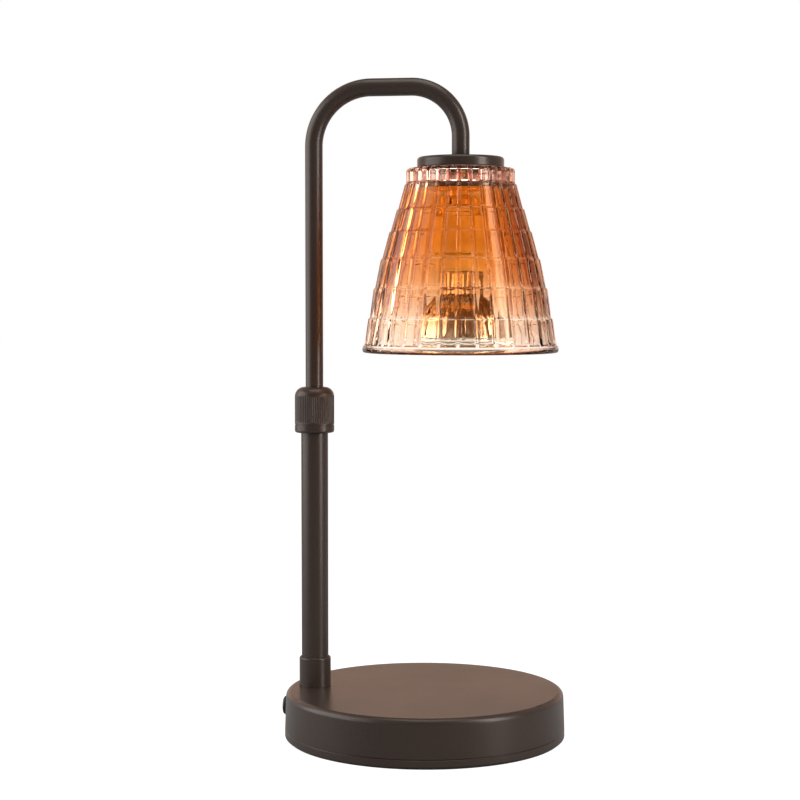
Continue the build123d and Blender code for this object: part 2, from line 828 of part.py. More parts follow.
with BuildPart() as holder_leads:
    with BuildSketch(level(shade_x, holder_top - holder_height / 4)):
        with GridLocations(1, 2 * core_diameter, 1, 2):
            Circle(core_diameter / 2)
    extrude(amount=hanger_nipple_z - holder_top + holder_height / 4)

# ================================================================ bulb
# Twist-lock reflector bulb: two headed pins, a ceramic neck, a mirrored bowl and a clear lens.
with BuildPart() as bulb_pins:
    with BuildSketch(level(shade_x, neck_top)):
        with PolarLocations(pin_circle_radius, 2):
            Circle(pin_diameter / 2)
    extrude(amount=pin_head_z - neck_top)
    with BuildSketch(level(shade_x, pin_head_z)):
        with PolarLocations(pin_circle_radius, 2):
            Circle(pin_head_diameter / 2)
    extrude(amount=pin_head_height)

with BuildPart() as bulb_neck:
    extrude(disc(shade_x, neck_z, bulb_neck_diameter), amount=bulb_neck_height)
    chamfer(bulb_neck.edges().filter_by(GeomType.CIRCLE).sort_by(Axis.Z)[-1], bulb_neck_chamfer)

bulb_radius = bulb_diameter / 2
reflector_top = bulb_neck_diameter / 2 - bulb_neck_chamfer / 2
rim_top = bulb_z + bulb_rim_height
bowl_top = neck_z - reflector_neck_height
bowl_middle = (reflector_top + bulb_radius) / 2 + reflector_bulge
bowl_middle_z = (bowl_top + rim_top) / 2
with BuildPart() as bulb_reflector:
    with BuildSketch(upright(shade_x)):
        with BuildLine():
            bowl = ThreePointArc(
                (reflector_top, bowl_top), (bowl_middle, bowl_middle_z), (bulb_radius, rim_top)
            )
            lining = ThreePointArc(
                (bulb_radius - bulb_rim_wall, rim_top),
                (bowl_middle - reflector_wall, bowl_middle_z),
                (reflector_top - reflector_wall, bowl_top),
            )
            Polyline(
                bowl @ 1, (bulb_radius, bulb_z), (bulb_radius - bulb_rim_wall, bulb_z), lining @ 0
            )
            Polyline(
                lining @ 1,
                (reflector_top - reflector_wall, neck_z),
                (reflector_top, neck_z),
                bowl @ 0,
            )
        make_face()
    revolve(axis=vertical(shade_x))

with BuildPart() as bulb_lens:
    lens_radius = bulb_radius - bulb_rim_wall - running_fit
    lens_edge = bulb_z + lens_setback
    with BuildSketch(upright(shade_x)):
        with BuildLine():
            front = RadiusArc((0, bulb_z), (lens_radius, lens_edge), lens_radius**2 / lens_setback / 2)
            Polyline(
                front @ 1,
                (lens_radius, lens_edge + lens_thickness),
                (0, lens_edge + lens_thickness),
                front @ 0,
            )
        make_face()
    revolve(axis=vertical(shade_x))

# Quartz burner on the bulb's axis, held in the neck by its pinched end.
with BuildPart() as bulb_burner:
    extrude(disc(shade_x, neck_z, burner_diameter / 2), amount=-burner_length / 3)
    capsule_top = neck_z - burner_length / 3
    extrude(disc(shade_x, capsule_top, burner_diameter), amount=-2 * burner_length / 3)
    fillet(bulb_burner.edges().filter_by(GeomType.CIRCLE).sort_by(Axis.Z)[0], burner_diameter / 3)

# ================================================================ one file for each piece
pieces = {
    "base_pad": base_pad,
    "base_tray": base_tray,
    "base_shell": base_shell,
    "base_weight": base_weight,
    "shell_pillars": shell_pillars,
    "base_screws": base_screws,
    "cord_gland": cord_gland,
    "gland_nut": gland_nut,
    "terminal_block": terminal_block,
    "base_lead": base_lead,
    "post_lead": post_lead,
    "foot_collar": foot_collar,
    "post_tube": post_tube,
    "post_plug": post_plug,
    "post_nipple": post_nipple,
    "post_washer": post_washer,
    "post_nut": post_nut,
    "collet_seat": collet_seat,
    "grip_ring": grip_ring,
    "lock_knob": lock_knob,
    "arm_tube": arm_tube,
    "guide_bush": guide_bush,
    "arm_lead": arm_lead,
    "drop_washer": drop_washer,
    "shade_cap": shade_cap,
    "upper_gasket": upper_gasket,
    "shade_glass": shade_glass,
    "lower_gasket": lower_gasket,
    "clamp_disc": clamp_disc,
    "hanger_nipple": hanger_nipple,
    "disc_nut": disc_nut,
    "bracket_nut": bracket_nut,
    "holder_bracket": holder_bracket,
    "holder_screws": holder_screws,
    "lamp_holder": lamp_holder,
    "holder_contacts": holder_contacts,
    "holder_leads": holder_leads,
    "bulb_pins": bulb_pins,
    "bulb_neck": bulb_neck,
    "bulb_reflector": bulb_reflector,
    "bulb_lens": bulb_lens,
    "bulb_burner": bulb_burner,
}
os.makedirs("parts", exist_ok=True)
for name, piece in pieces.items():
    piece.part.label = name
    export_step(piece.part, f"parts/{name}.step")
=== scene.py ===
# Candle warmer lamp: finishes and finer shapes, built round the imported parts.
# Metres, +Z up, the post on the left at -X and the shade on the right. A function's s is the
# dictionary of its piece or finish.
import json
import math

import bmesh
import bpy
import numpy as np
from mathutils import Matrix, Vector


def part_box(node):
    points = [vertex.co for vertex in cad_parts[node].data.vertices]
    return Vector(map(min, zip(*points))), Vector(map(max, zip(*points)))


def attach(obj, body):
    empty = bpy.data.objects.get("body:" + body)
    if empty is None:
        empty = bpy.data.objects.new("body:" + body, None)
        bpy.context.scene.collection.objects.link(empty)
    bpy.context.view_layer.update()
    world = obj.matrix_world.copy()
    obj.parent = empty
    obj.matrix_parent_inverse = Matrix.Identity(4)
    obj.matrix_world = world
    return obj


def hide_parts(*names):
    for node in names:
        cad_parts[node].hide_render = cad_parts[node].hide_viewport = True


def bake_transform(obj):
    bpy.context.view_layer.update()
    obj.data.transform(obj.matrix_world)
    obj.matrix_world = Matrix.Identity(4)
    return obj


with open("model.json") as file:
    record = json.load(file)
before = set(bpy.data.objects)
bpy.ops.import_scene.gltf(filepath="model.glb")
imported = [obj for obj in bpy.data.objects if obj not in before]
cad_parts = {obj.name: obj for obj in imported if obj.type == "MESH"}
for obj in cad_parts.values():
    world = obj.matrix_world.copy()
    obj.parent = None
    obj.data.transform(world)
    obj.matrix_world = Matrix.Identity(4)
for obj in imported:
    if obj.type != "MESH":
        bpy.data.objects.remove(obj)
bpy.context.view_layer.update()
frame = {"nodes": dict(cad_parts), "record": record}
nodes = frame["nodes"]
mm = 0.001
roundColumns = 144  # points around a turned part
glassIndex = 1.5


# Every new piece is a grid of points worked out as one array.
def spread(start, stop, count):
    # Evenly spaced values, both ends included.
    return np.linspace(start, stop, count)


def turnsOf(count):
    # Angles of a full turn, the last one left out because the surface closes on itself.
    return np.arange(count) * 2 * math.pi / count


def ease(t):
    # Smooth step: level at both ends.
    t = np.clip(t, 0, 1)
    return t * t * (3 - 2 * t)


def unit(vectors):
    return vectors / np.linalg.norm(vectors, axis=-1, keepdims=True)


def headings(line):
    # Unit vectors along a line at its points, worked out over their true spacing.
    steps = np.linalg.norm(np.diff(line, axis=0), axis=1)
    return unit(np.gradient(line, np.concatenate([[0], np.cumsum(steps)]), axis=0))


def boxOf(node):
    # A part's lowest and highest corners, and the middle of its X.
    low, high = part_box(node)
    return low, high, (low[0] + high[0]) / 2


def quarterRound(radius, count):
    # A quarter of a circle from a face to the side next to it: how far its points lie below the
    # face, and how far inside the side.
    angle = spread(0, math.pi / 2, count)
    return radius * (1 - np.cos(angle)), radius * (1 - np.sin(angle))


def rounded(corners, steps=6, loose=False, beyond=0.05 * mm):
    # Outline with its corners, given as (across, up, rounding), turned into arcs. An arc is a
    # rational curve between the points where it meets the two sides, weighted by the sine of half
    # the corner's angle. A point just beyond each end of it keeps the flats flat. Loose ends stay
    # where they are.
    spot, turn = np.array(corners, float)[:, :2], np.array(corners, float)[:, 2:]
    back, ahead = unit(np.roll(spot, 1, 0) - spot), unit(np.roll(spot, -1, 0) - spot)
    half = np.arccos(np.clip((back * ahead).sum(1, keepdims=True), -1, 1)) / 2
    reach = turn / np.tan(half)
    t = spread(0, 1, steps)[None, :, None]
    near, far, pull = (1 - t) ** 2, t**2, 2 * np.sin(half)[:, None] * t * (1 - t)
    start, end = spot + back * reach, spot + ahead * reach
    arc = (near * start[:, None] + pull * spot[:, None] + far * end[:, None]) / (near + pull + far)
    before, after = start + back * beyond, end + ahead * beyond
    line = np.concatenate([before[:, None], arc, after[:, None]], 1)
    if loose:
        return np.concatenate([spot[:1], line[1:-1].reshape(-1, 2), spot[-1:]])
    return line.reshape(-1, 2)


def finer(line, longest, closed=True):
    # The same outline with each side divided so that no step is longer than asked.
    ends = np.roll(line, -1, 0) if closed else line[1:]
    starts = line if closed else line[:-1]
    counts = np.maximum(np.ceil(np.linalg.norm(ends - starts, axis=1) / longest), 1).astype(int)
    side = np.repeat(np.arange(len(starts)), counts)
    share = (np.arange(counts.sum()) - np.repeat(np.cumsum(counts) - counts, counts)) / counts[side]
    points = starts[side] + (ends - starts)[side] * share[:, None]
    return points if closed else np.concatenate([points, line[-1:]])


def arcThrough(a, b, c, count):
    # Points (across, up) on the circle through three points, from the first to the last.
    (ax, ay), (bx, by), (cx, cy) = a, b, c
    double = 2 * (ax * (by - cy) + bx * (cy - ay) + cx * (ay - by))
    aa, bb, cc = ax**2 + ay**2, bx**2 + by**2, cx**2 + cy**2
    x = (aa * (by - cy) + bb * (cy - ay) + cc * (ay - by)) / double
    y = (aa * (cx - bx) + bb * (ax - cx) + cc * (bx - ax)) / double
    angle = spread(math.atan2(ay - y, ax - x), math.atan2(cy - y, cx - x), count)
    radius = math.hypot(ax - x, ay - y)
    return np.stack([x + radius * np.cos(angle), y + radius * np.sin(angle)], -1)


def turned(outline, columns, shape=None):
    # Surface of revolution about the Z axis: an outline of (radius, height) goes round, and
    # shape(radius, height, angle) changes its radius where the piece isn't round.
    angle = turnsOf(columns)
    radius, height = np.repeat(outline[:, :1], columns, 1), np.repeat(outline[:, 1:], columns, 1)
    if shape:
        radius = shape(radius, height, angle)
    return np.stack([radius * np.cos(angle), radius * np.sin(angle), height], -1)


def enclosedVolume(points, quads):
    # Sum of the signed volumes between each face and the middle. It is below zero if the faces
    # point inwards.
    a, b, c, d = (points[quads[:, i]] - points.mean(0) for i in range(4))
    return (np.cross(a, b) * c).sum() + (np.cross(a, c) * d).sum()


def meshFromGrids(name, *grids, closeRows=True, closeColumns=True, joinWithin=1e-7):
    # In each grid points[i, j] is row i and column j, and every cell becomes one four-sided face.
    # A closed surface is turned so that its faces point outwards, and points that meet are joined.
    vertices, faces, first = [], [], 0
    for points in grids:
        rows, columns = points.shape[:2]
        index = np.arange(rows * columns).reshape(rows, columns)
        if closeRows:
            index = np.vstack([index, index[:1]])
        if closeColumns:
            index = np.hstack([index, index[:, :1]])
        corners = [index[:-1, :-1], index[:-1, 1:], index[1:, 1:], index[1:, :-1]]
        quads = np.stack(corners, -1).reshape(-1, 4)
        flat = points.reshape(-1, 3)
        if closeColumns and enclosedVolume(flat, quads) < 0:
            quads = quads[:, ::-1]
        vertices.append(flat)
        faces.append(quads + first)
        first += len(flat)
    mesh = bpy.data.meshes.new(name)
    mesh.from_pydata(np.concatenate(vertices).tolist(), [], np.concatenate(faces).tolist())
    work = bmesh.new()
    work.from_mesh(mesh)
    bmesh.ops.remove_doubles(work, verts=work.verts, dist=joinWithin)
    work.to_mesh(mesh)
    work.free()
    mesh.polygons.foreach_set("use_smooth", np.ones(len(mesh.polygons), bool))
    mesh.update()
    piece = bpy.data.objects.new(name, mesh)
    bpy.context.scene.collection.objects.link(piece)
    return piece


def capped(name, tube):
    # Closes a tube of rings with a point in the middle of each end.
    ends = [np.repeat(tube[i].mean(0)[None, None], tube.shape[1], 1) for i in (0, -1)]
    return meshFromGrids(name, np.concatenate([ends[0], tube, ends[1]]), closeRows=False)


def mathNode(operation, swapped=False):
    # A method that adds one Math node, with its two numbers swapped if asked.
    def method(self, other=0.0):
        first, second = (other, self) if swapped else (self, other)
        return self.trees.add("ShaderNodeMath", {"operation": operation}, {0: first, 1: second})

    return method


class Amount:
    # A number worked out in a node tree. Sums on it add Math nodes.
    def __init__(self, trees, socket):
        self.trees = trees
        self.socket = socket

    __add__, __radd__ = mathNode("ADD"), mathNode("ADD", swapped=True)
    __sub__, __rsub__ = mathNode("SUBTRACT"), mathNode("SUBTRACT", swapped=True)
    __mul__, __rmul__ = mathNode("MULTIPLY"), mathNode("MULTIPLY", swapped=True)
    atLeast, angleOver = mathNode("MAXIMUM"), mathNode("ARCTAN2")
    sine, size = mathNode("SINE"), mathNode("ABSOLUTE")


class Trees:
    # The nodes of one material or of the world. add() makes any node: its settings first, then the
    # values or links of its sockets.
    def __init__(self, owner, output="ShaderNodeOutputMaterial"):
        owner.use_nodes = True
        self.owner = owner
        self.tree = owner.node_tree
        self.tree.nodes.clear()
        self.output = self.tree.nodes.new(output)

    def add(self, kind, settings=None, sockets=None, output=0):
        node = self.tree.nodes.new(kind)
        for name, value in (settings or {}).items():
            if name == "stops":
                ramp = node.color_ramp.elements
                for end, (position, colour) in zip(ramp, (value[0], value[-1])):
                    end.position, end.color = position, colour
                for position, colour in value[1:-1]:
                    ramp.new(position).color = colour
            else:
                setattr(node, name, value)
        for name, value in (sockets or {}).items():
            self.join(value, node.inputs[name])
        return Amount(self, node.outputs[output])

    def join(self, value, socket):
        if isinstance(value, Amount):
            self.tree.links.new(value.socket, socket)
        else:
            socket.default_value = value

    def where(self, stretch=None):
        # Object coordinates: the spot on the part itself, in metres, times a stretch for each axis.
        spot = self.add("ShaderNodeTexCoord", output="Object")
        if stretch:
            settings = {"operation": "MULTIPLY"}
            spot = self.add("ShaderNodeVectorMath", settings, {0: spot, 1: stretch})
        return spot

    def along(self, axis, spot=None):
        sockets = {"Vector": spot or self.where()}
        return self.add("ShaderNodeSeparateXYZ", None, sockets, output=axis)

    def rays(self):
        # Switches for what looks at the surface: the camera, gloss, or something behind glass.
        kinds = ("Camera", "Glossy", "Transmission")
        return [self.add("ShaderNodeLightPath", output="Is " + kind + " Ray") for kind in kinds]

    def noise(self, scale, detail=2.0, stretch=None, roughness=0.55):
        spot = self.where(stretch)
        sockets = {"Vector": spot, "Scale": scale, "Detail": detail, "Roughness": roughness}
        return self.add("ShaderNodeTexNoise", None, sockets)

    def remap(self, amount, low, high, toLow=0.0, toHigh=1.0, kind="SMOOTHSTEP"):
        return self.add(
            "ShaderNodeMapRange",
            {"interpolation_type": kind},
            {"Value": amount, "From Min": low, "From Max": high, "To Min": toLow, "To Max": toHigh},
        )

    def blend(self, share, first, second, kind="MIX"):
        # Mixes two colours.
        settings = {"data_type": "RGBA", "blend_type": kind}
        return self.add("ShaderNodeMix", settings, {0: share, 6: first, 7: second}, output=2)

    def bump(self, height, distance, strength=1.0):
        sockets = {"Height": height, "Distance": distance, "Strength": strength}
        return self.add("ShaderNodeBump", None, sockets, output="Normal")

    def surface(self, **sockets):
        # The Principled shader, joined to the output. Underscores stand for the spaces in names.
        named = {name.replace("_", " "): value for name, value in sockets.items()}
        shader = self.add("ShaderNodeBsdfPrincipled", None, named)
        self.join(shader, self.output.inputs["Surface"])
        return shader


def rgb(red, green, blue):
    return (red, green, blue, 1.0)


def newFinish(name):
    return Trees(bpy.data.materials.new(name))


def product(amounts):
    # Used in place of math.prod alone, which would start from a plain 1.
    first, *rest = amounts
    return math.prod(rest, start=first)


def weighed(shares, amounts):
    # Sum of the named amounts, each times its share.
    first, *rest = (amounts[key] * share for key, share in shares.items())
    return sum(rest, first)


print("helpers ready")

cameraSet = {
    "lens": 84.55,
    "sensor": 36.0,
    "place": (0.1434, -0.9901, 0.2367),
    "downward": 3.19,  # degrees
    "turn": 9.0,
    "nearest": 0.01,
}


def makeCamera(s):
    data = bpy.data.cameras.new("camera")
    data.lens = s["lens"]
    data.sensor_width = s["sensor"]
    data.clip_start = s["nearest"]
    camera = bpy.data.objects.new("camera", data)
    camera.location = s["place"]
    tilt, turn = math.radians(90 - s["downward"]), math.radians(s["turn"])
    camera.rotation_euler = (tilt, 0, turn)
    bpy.context.scene.collection.objects.link(camera)
    bpy.context.scene.camera = camera


makeCamera(cameraSet)


# Finishes. Their patterns lie on Object coordinates and are (repeats per metre, detail, stretch).
# Bump is (depth, strength).
def patternedFinish(name, s):
    # Noise patterns, and masks that are products of ramps over them. Colour: each layer goes over
    # the last one by a weighed sum. Roughness: its level plus a weighed sum of masks, and of
    # patterns about their middle. Relief: a weighed sum too.
    finish = newFinish(name)
    amounts = {key: finish.noise(*pattern) for key, pattern in s["patterns"].items()}
    swings = {key: amount - 0.5 for key, amount in amounts.items()}
    for key, ramps in s["masks"].items():
        mask = product(finish.remap(amounts[pattern], *ends) for pattern, *ends in ramps)
        amounts[key] = swings[key] = mask
    colour = s["colour"]
    for shares, over in s["layers"]:
        colour = finish.blend(weighed(shares, amounts), colour, over)
    finish.surface(
        Base_Color=colour,
        Roughness=s["roughness"] + weighed(s["dulling"], swings),
        Normal=finish.bump(weighed(s["relief"], amounts), *s["bump"]),
        **s.get("sockets", {}),
    )
    return finish.owner


coatSet = {  # fine grain over a slow orange peel, with smoother patches from handling
    "patterns": {"grain": (2600.0, 3.0), "peel": (420.0,), "patch": (24.0, 3.0)},
    "masks": {"speck": [("grain", 0.35, 0.7)]},
    "colour": rgb(0.030, 0.0200, 0.0162),
    "layers": [({"speck": 0.55, "patch": 0.4}, rgb(0.047, 0.0312, 0.0250))],
    "roughness": 0.31,
    "dulling": {"grain": 0.16, "patch": 0.1},
    "relief": {"grain": 0.55, "peel": 0.45},
    "bump": (0.06 * mm, 0.8),
    "sockets": {"Specular_IOR_Level": 0.42, "Specular_Tint": rgb(1.0, 0.88, 0.8)},
}
ceramicSet = {  # glazed steatite: warmer where fired harder, with iron specks and a slow ripple
    "patterns": {"flow": (70.0, 3.0), "grain": (620.0,)},
    "masks": {"fired": [("flow", 0.35, 0.75)], "speck": [("grain", 0.7, 0.76)]},
    "colour": rgb(0.66, 0.6, 0.38),
    "layers": [({"fired": 1.0}, rgb(0.5, 0.43, 0.25)), ({"speck": 0.7}, rgb(0.3, 0.22, 0.14))],
    "roughness": 0.3,
    "dulling": {"flow": 0.16, "speck": 0.25},
    "relief": {"flow": 0.8, "grain": 0.2},
    "bump": (0.05 * mm, 0.5),
}
mirrorSet = {  # vapour coat: faint level bands, hazy patches and pinholes
    "patterns": {"band": (900.0, 2.0, (0.15, 0.15, 1.0)), "cloud": (85.0, 3.0), "hole": (1700.0,)},
    "masks": {"haze": [("cloud", 0.42, 0.75)], "pin": [("hole", 0.68, 0.76)]},
    "colour": rgb(0.5, 0.41, 0.31),
    "layers": [({"haze": 0.6, "pin": 0.4}, rgb(0.29, 0.2, 0.13))],
    "roughness": 0.08,
    "dulling": {"haze": 0.12, "pin": 0.2, "band": 0.06},
    "relief": {"band": 1.0},
    "bump": (0.01 * mm, 0.4),
    "sockets": {"Metallic": 1.0},
}
lensSet = {  # pressed clear glass: a slow ripple, and seeds that dull it in fine points
    "patterns": {"ripple": (240.0,), "bubble": (900.0,)},
    "masks": {"seed": [("bubble", 0.66, 0.76)]},
    "colour": rgb(0.97, 0.98, 0.95),
    "layers": [({"seed": 0.6, "ripple": 0.25}, rgb(0.834, 0.843, 0.817))],
    "roughness": 0.02,
    "dulling": {"seed": 0.12},
    "relief": {"ripple": 1.0},
    "bump": (0.12 * mm, 0.4),
    "sockets": {"IOR": glassIndex, "Transmission_Weight": 1.0},
}
# Bright metal, tarnish, rings and patches per metre, where tarnish starts and is full, and the
# rings' depth in millimetres.
metals = {
    "turnedBrass": (rgb(0.95, 0.76, 0.42), rgb(0.7, 0.48, 0.22), 2600, 130, (0.5, 0.72), 0.02),
    "zincedSteel": (rgb(0.84, 0.82, 0.77), rgb(0.52, 0.5, 0.46), 3200, 210, (0.5, 0.75), 0.015),
}


def turnedMetal(name):
    # Tool rings, which are noise drawn out level, under patches of tarnish that are duller than the
    # bright metal, and scattered pin specks.
    bright, tarnish, rings, patches, tarnished, depth = metals[name]
    look = {
        "patterns": {
            "ring": (rings, 2.0, (0.03, 0.03, 1.0)),
            "patch": (patches, 4.0),
            "pin": (rings * 0.7,),
        },
        "masks": {"tarnish": [("patch", *tarnished)], "speck": [("pin", 0.64, 0.74)]},
        "colour": bright,
        "layers": [({"tarnish": 0.56, "speck": 0.4}, tarnish)],
        "roughness": 0.24,
        "dulling": {"tarnish": 0.101, "speck": 0.072, "ring": 0.12},
        "relief": {"ring": 0.8, "speck": 0.2},
        "bump": (depth * mm, 0.6),
        "sockets": {"Metallic": 1.0},
    }
    return patternedFinish(name, look)


# Body, dust, roughness, and the tool's texture in repeats per metre.
mouldings = {
    "blackNylon": (rgb(0.014, 0.014, 0.015), rgb(0.05, 0.048, 0.045), 0.42, 2300.0),
    "whiteThermoset": (rgb(0.72, 0.71, 0.67), rgb(0.6, 0.55, 0.44), 0.36, 2800.0),
    "siliconeRubber": (rgb(0.62, 0.6, 0.55), rgb(0.74, 0.73, 0.7), 0.58, 1500.0),
}


def moulded(name):
    # Fine pits from the tool, in which dust gathers, over slow sink marks that change the gloss.
    body, dust, roughness, texture = mouldings[name]
    look = {
        "patterns": {"pit": (texture, 3.0), "sink": (texture / 40,)},
        "masks": {"dust": [("pit", 0.62, 0.4), ("sink", 0.4, 0.7)]},
        "colour": body,
        "layers": [({"dust": 0.6}, dust)],
        "roughness": roughness,
        "dulling": {"pit": 0.2, "dust": 0.15, "sink": 0.1},
        "relief": {"pit": 0.6, "sink": 0.4},
        "bump": (0.05 * mm, 0.6),
    }
    return patternedFinish(name, look)


ironSet = {
    "skin": rgb(0.085, 0.083, 0.082),
    "rust": rgb(0.16, 0.07, 0.03),
    "roughness": 0.62,
    "metallic": 0.75,
    "patterns": {"sand": (700.0, 4.0), "lumps": (90.0, 3.0)},
    "blooms": {"lumps": 0.7, "sand": 0.3},
    "rusted": (0.56, 0.75),
    "rustCover": 0.7,
    "dulling": 0.2,
    "relief": {"sand": 0.5, "lumps": 0.5},
    "bump": (0.25 * mm, 0.7),
}


def castIron(s):
    # A sand-cast skin: grains on slow lumps, with rust bloom where the lumps are highest.
    iron = newFinish("sandCastIron")
    amounts = {key: iron.noise(*pattern) for key, pattern in s["patterns"].items()}
    rust = iron.remap(weighed(s["blooms"], amounts), *s["rusted"])
    iron.surface(
        Base_Color=iron.blend(rust, s["skin"], s["rust"]),
        Roughness=s["roughness"] + (rust + amounts["sand"] - 0.5) * s["dulling"],
        Metallic=s["metallic"] - rust * s["rustCover"],
        Normal=iron.bump(weighed(s["relief"], amounts), *s["bump"]),
    )
    return iron.owner


foamSet = {
    "wall": rgb(0.032, 0.031, 0.03),
    # painted shade in the pores' hollows
    "hole": rgb(0.008, 0.008, 0.008),
    "roughness": 0.88,
    "pores": 1500.0,
    "walls": (0.1, 0.6),
    "wear": (60.0, 3.0),
    "paling": 0.6,
    "dulling": 0.12,
    "bump": (0.18 * mm, 0.7),
}


def cellFoam(s):
    # Closed-cell foam: each pore is sunk in its middle, where painted shade darkens the hollow, and
    # paler along its walls, the more so where it is worn.
    foam = newFinish("cellFoam")
    sockets = {"Vector": foam.where(), "Scale": s["pores"]}
    pore = foam.add("ShaderNodeTexVoronoi", None, sockets, output="Distance")
    wear = foam.noise(*s["wear"])
    pale = foam.remap(pore, *s["walls"]) * ((1 + wear) * s["paling"])
    foam.surface(
        Base_Color=foam.blend(pale, s["hole"], s["wall"]),
        Roughness=s["roughness"] + (wear - 0.5) * s["dulling"],
        Normal=foam.bump(pore, *s["bump"]),
    )
    return foam.owner


sleeveSet = {
    "yarn": rgb(0.7, 0.68, 0.62),
    "gap": rgb(0.34, 0.32, 0.28),
    "roughness": 0.62,
    "yarns": 5200.0,
    "soil": (150.0, 3.0),
    "yarnShare": 0.6,
    "soilShare": 0.4,
    "dulling": 0.2,
    "bump": (0.08 * mm, 0.6),
}


def wovenSleeve(s):
    # Glass-fibre sleeve: the product of two sines along crossing diagonals gives its yarns.
    sleeve = newFinish("wovenSleeve")
    x, y, z = (sleeve.along(axis) for axis in "XYZ")
    yarn = ((x + y + z) * s["yarns"]).sine() * ((x - y + z) * s["yarns"]).sine() * 0.5 + 0.5
    soil = sleeve.noise(*s["soil"])
    pale = yarn * s["yarnShare"] + soil * s["soilShare"]
    sleeve.surface(
        Base_Color=sleeve.blend(pale, s["gap"], s["yarn"]),
        Roughness=s["roughness"] + (soil - 0.5) * s["dulling"],
        Normal=sleeve.bump(yarn, *s["bump"]),
    )
    return sleeve.owner


amberSet = {
    "stain": [  # height above the floor, colour of the stained glass there
        (0.206, rgb(0.99, 0.94, 0.90)),
        (0.216, rgb(0.98, 0.90, 0.83)),
        (0.230, rgb(0.96, 0.80, 0.66)),
        (0.246, rgb(0.90, 0.60, 0.34)),
        (0.264, rgb(0.83, 0.46, 0.15)),
        (0.291, rgb(0.82, 0.44, 0.14)),
        (0.2965, rgb(1.0, 0.97, 0.96)),
    ],
    "clouds": 38.0,
    "drift": 5 * mm,  # how far the clouds move the stain up and down
    # Painted shade: the edge colour darkens and reddens the skin where it is seen edgewise, more so
    # in the grooves between the tiles, and in the crown's grooves.
    "edge": rgb(0.42, 0.09, 0.05),
    "edgeBlend": 0.5,
    "edgeFrom": (0.215, 0.265, 0.08, 1.0),  # two heights, and how far the skin darkens there
    "tiles": 32,
    "grooves": (0.86, 0.99),
    # Painted shade in the grooves, as a share added to that at the edges, and in the crown's
    # grooves.
    "grooveShade": 1.8,
    "crown": (0.294, 0.2965),
    "crownGrooveShade": 0.5,
    "body": rgb(0.98, 0.7, 0.46),
    "density": 80.0,
    "lampTint": rgb(0.97, 0.74, 0.40),
    "gloss": rgb(0.6, 0.38, 0.25),
    "roughness": 0.012,
    "seeds": 1300.0,
    "seeded": (0.62, 0.75),
    "dulling": 0.05,  # by seeds
    "waves": 95.0,
    "bump": (0.6 * mm, 0.35),
}


def amberGlass(s):
    # Pressed glass with a faint tint in its body and an amber stain on its skin. The stain is deep
    # under the crown and fades to the rim. Painted shade makes the skin darker and redder where it
    # is seen edgewise, the more so in the grooves.
    glass = newFinish("amberShadeGlass")
    x, y, z = (glass.along(axis) for axis in "XYZ")
    low, high = s["stain"][0][0], s["stain"][-1][0]
    stops = [((height - low) / (high - low), colour) for height, colour in s["stain"]]
    level = z + (glass.noise(s["clouds"]) - 0.5) * s["drift"]
    level = glass.remap(level, low, high, kind="LINEAR")
    stain = glass.add("ShaderNodeValToRGB", {"stops": stops}, {"Fac": level})
    facing = glass.add("ShaderNodeLayerWeight", None, {"Blend": s["edgeBlend"]}, output="Facing")
    # Painted shade gathers in the grooves between the tiles and in the crown's grooves: they lie
    # where the sine of the angle times half the number of tiles is at its ends.
    angle = y.angleOver(x - boxOf("shade_glass")[2])
    groove = glass.remap((angle * (s["tiles"] / 2)).sine().size(), *s["grooves"])
    crown = glass.remap(z, *s["crown"])
    edgewise = facing * glass.remap(z, *s["edgeFrom"]) * (1 + s["grooveShade"] * groove)
    edgewise = edgewise + s["crownGrooveShade"] * crown * groove
    seed = glass.remap(glass.noise(s["seeds"]), *s["seeded"])
    skin = glass.surface(
        Base_Color=glass.blend(edgewise, stain, glass.blend(1.0, stain, s["edge"], "MULTIPLY")),
        Roughness=s["roughness"] + seed * s["dulling"],
        IOR=glassIndex,
        Transmission_Weight=1.0,
        Specular_Tint=s["gloss"],
        Normal=glass.bump(glass.noise(s["waves"]), *s["bump"]),
    )
    # A lamp's light goes straight through, tinted, instead of being stopped by the glass.
    through = glass.add("ShaderNodeBsdfTransparent", None, {"Color": s["lampTint"]})
    fromLamp = glass.add("ShaderNodeLightPath", output="Is Shadow Ray")
    both = glass.add("ShaderNodeMixShader", None, {0: fromLamp, 1: skin, 2: through})
    glass.join(both, glass.output.inputs["Surface"])
    sockets = {"Color": s["body"], "Density": s["density"]}
    body = glass.add("ShaderNodeVolumeAbsorption", None, sockets)
    glass.join(body, glass.output.inputs["Volume"])
    return glass.owner


finishes = {
    "powder_coat": patternedFinish("satinPowderCoat", coatSet),
    "shade_glass": amberGlass(amberSet),
    "foam": cellFoam(foamSet),
    "silicone": moulded("siliconeRubber"),
    "iron": castIron(ironSet),
    "steel": turnedMetal("zincedSteel"),
    "brass": turnedMetal("turnedBrass"),
    "nylon": moulded("blackNylon"),
    "white_plastic": moulded("whiteThermoset"),
    "wire": wovenSleeve(sleeveSet),
    "ceramic": patternedFinish("glazedSteatite", ceramicSet),
    "reflector": patternedFinish("vapourMirror", mirrorSet),
    "lens": patternedFinish("clearPressedGlass", lensSet),
}

# Parts that keep their solid get their slot's finish as well.
for part in frame["record"]["subparts"]:
    materials = nodes[part["node"]].data.materials
    materials.clear()
    materials.append(finishes[part["material_slot"]])
print("finishes made:", len(finishes))


def place(piece, body, slot, node=None):
    # Puts a new piece on its body with its slot's finish. It stands for a node, if one is named.
    piece.data.materials.append(finishes[slot])
    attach(piece, body)
    if node:
        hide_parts(node)


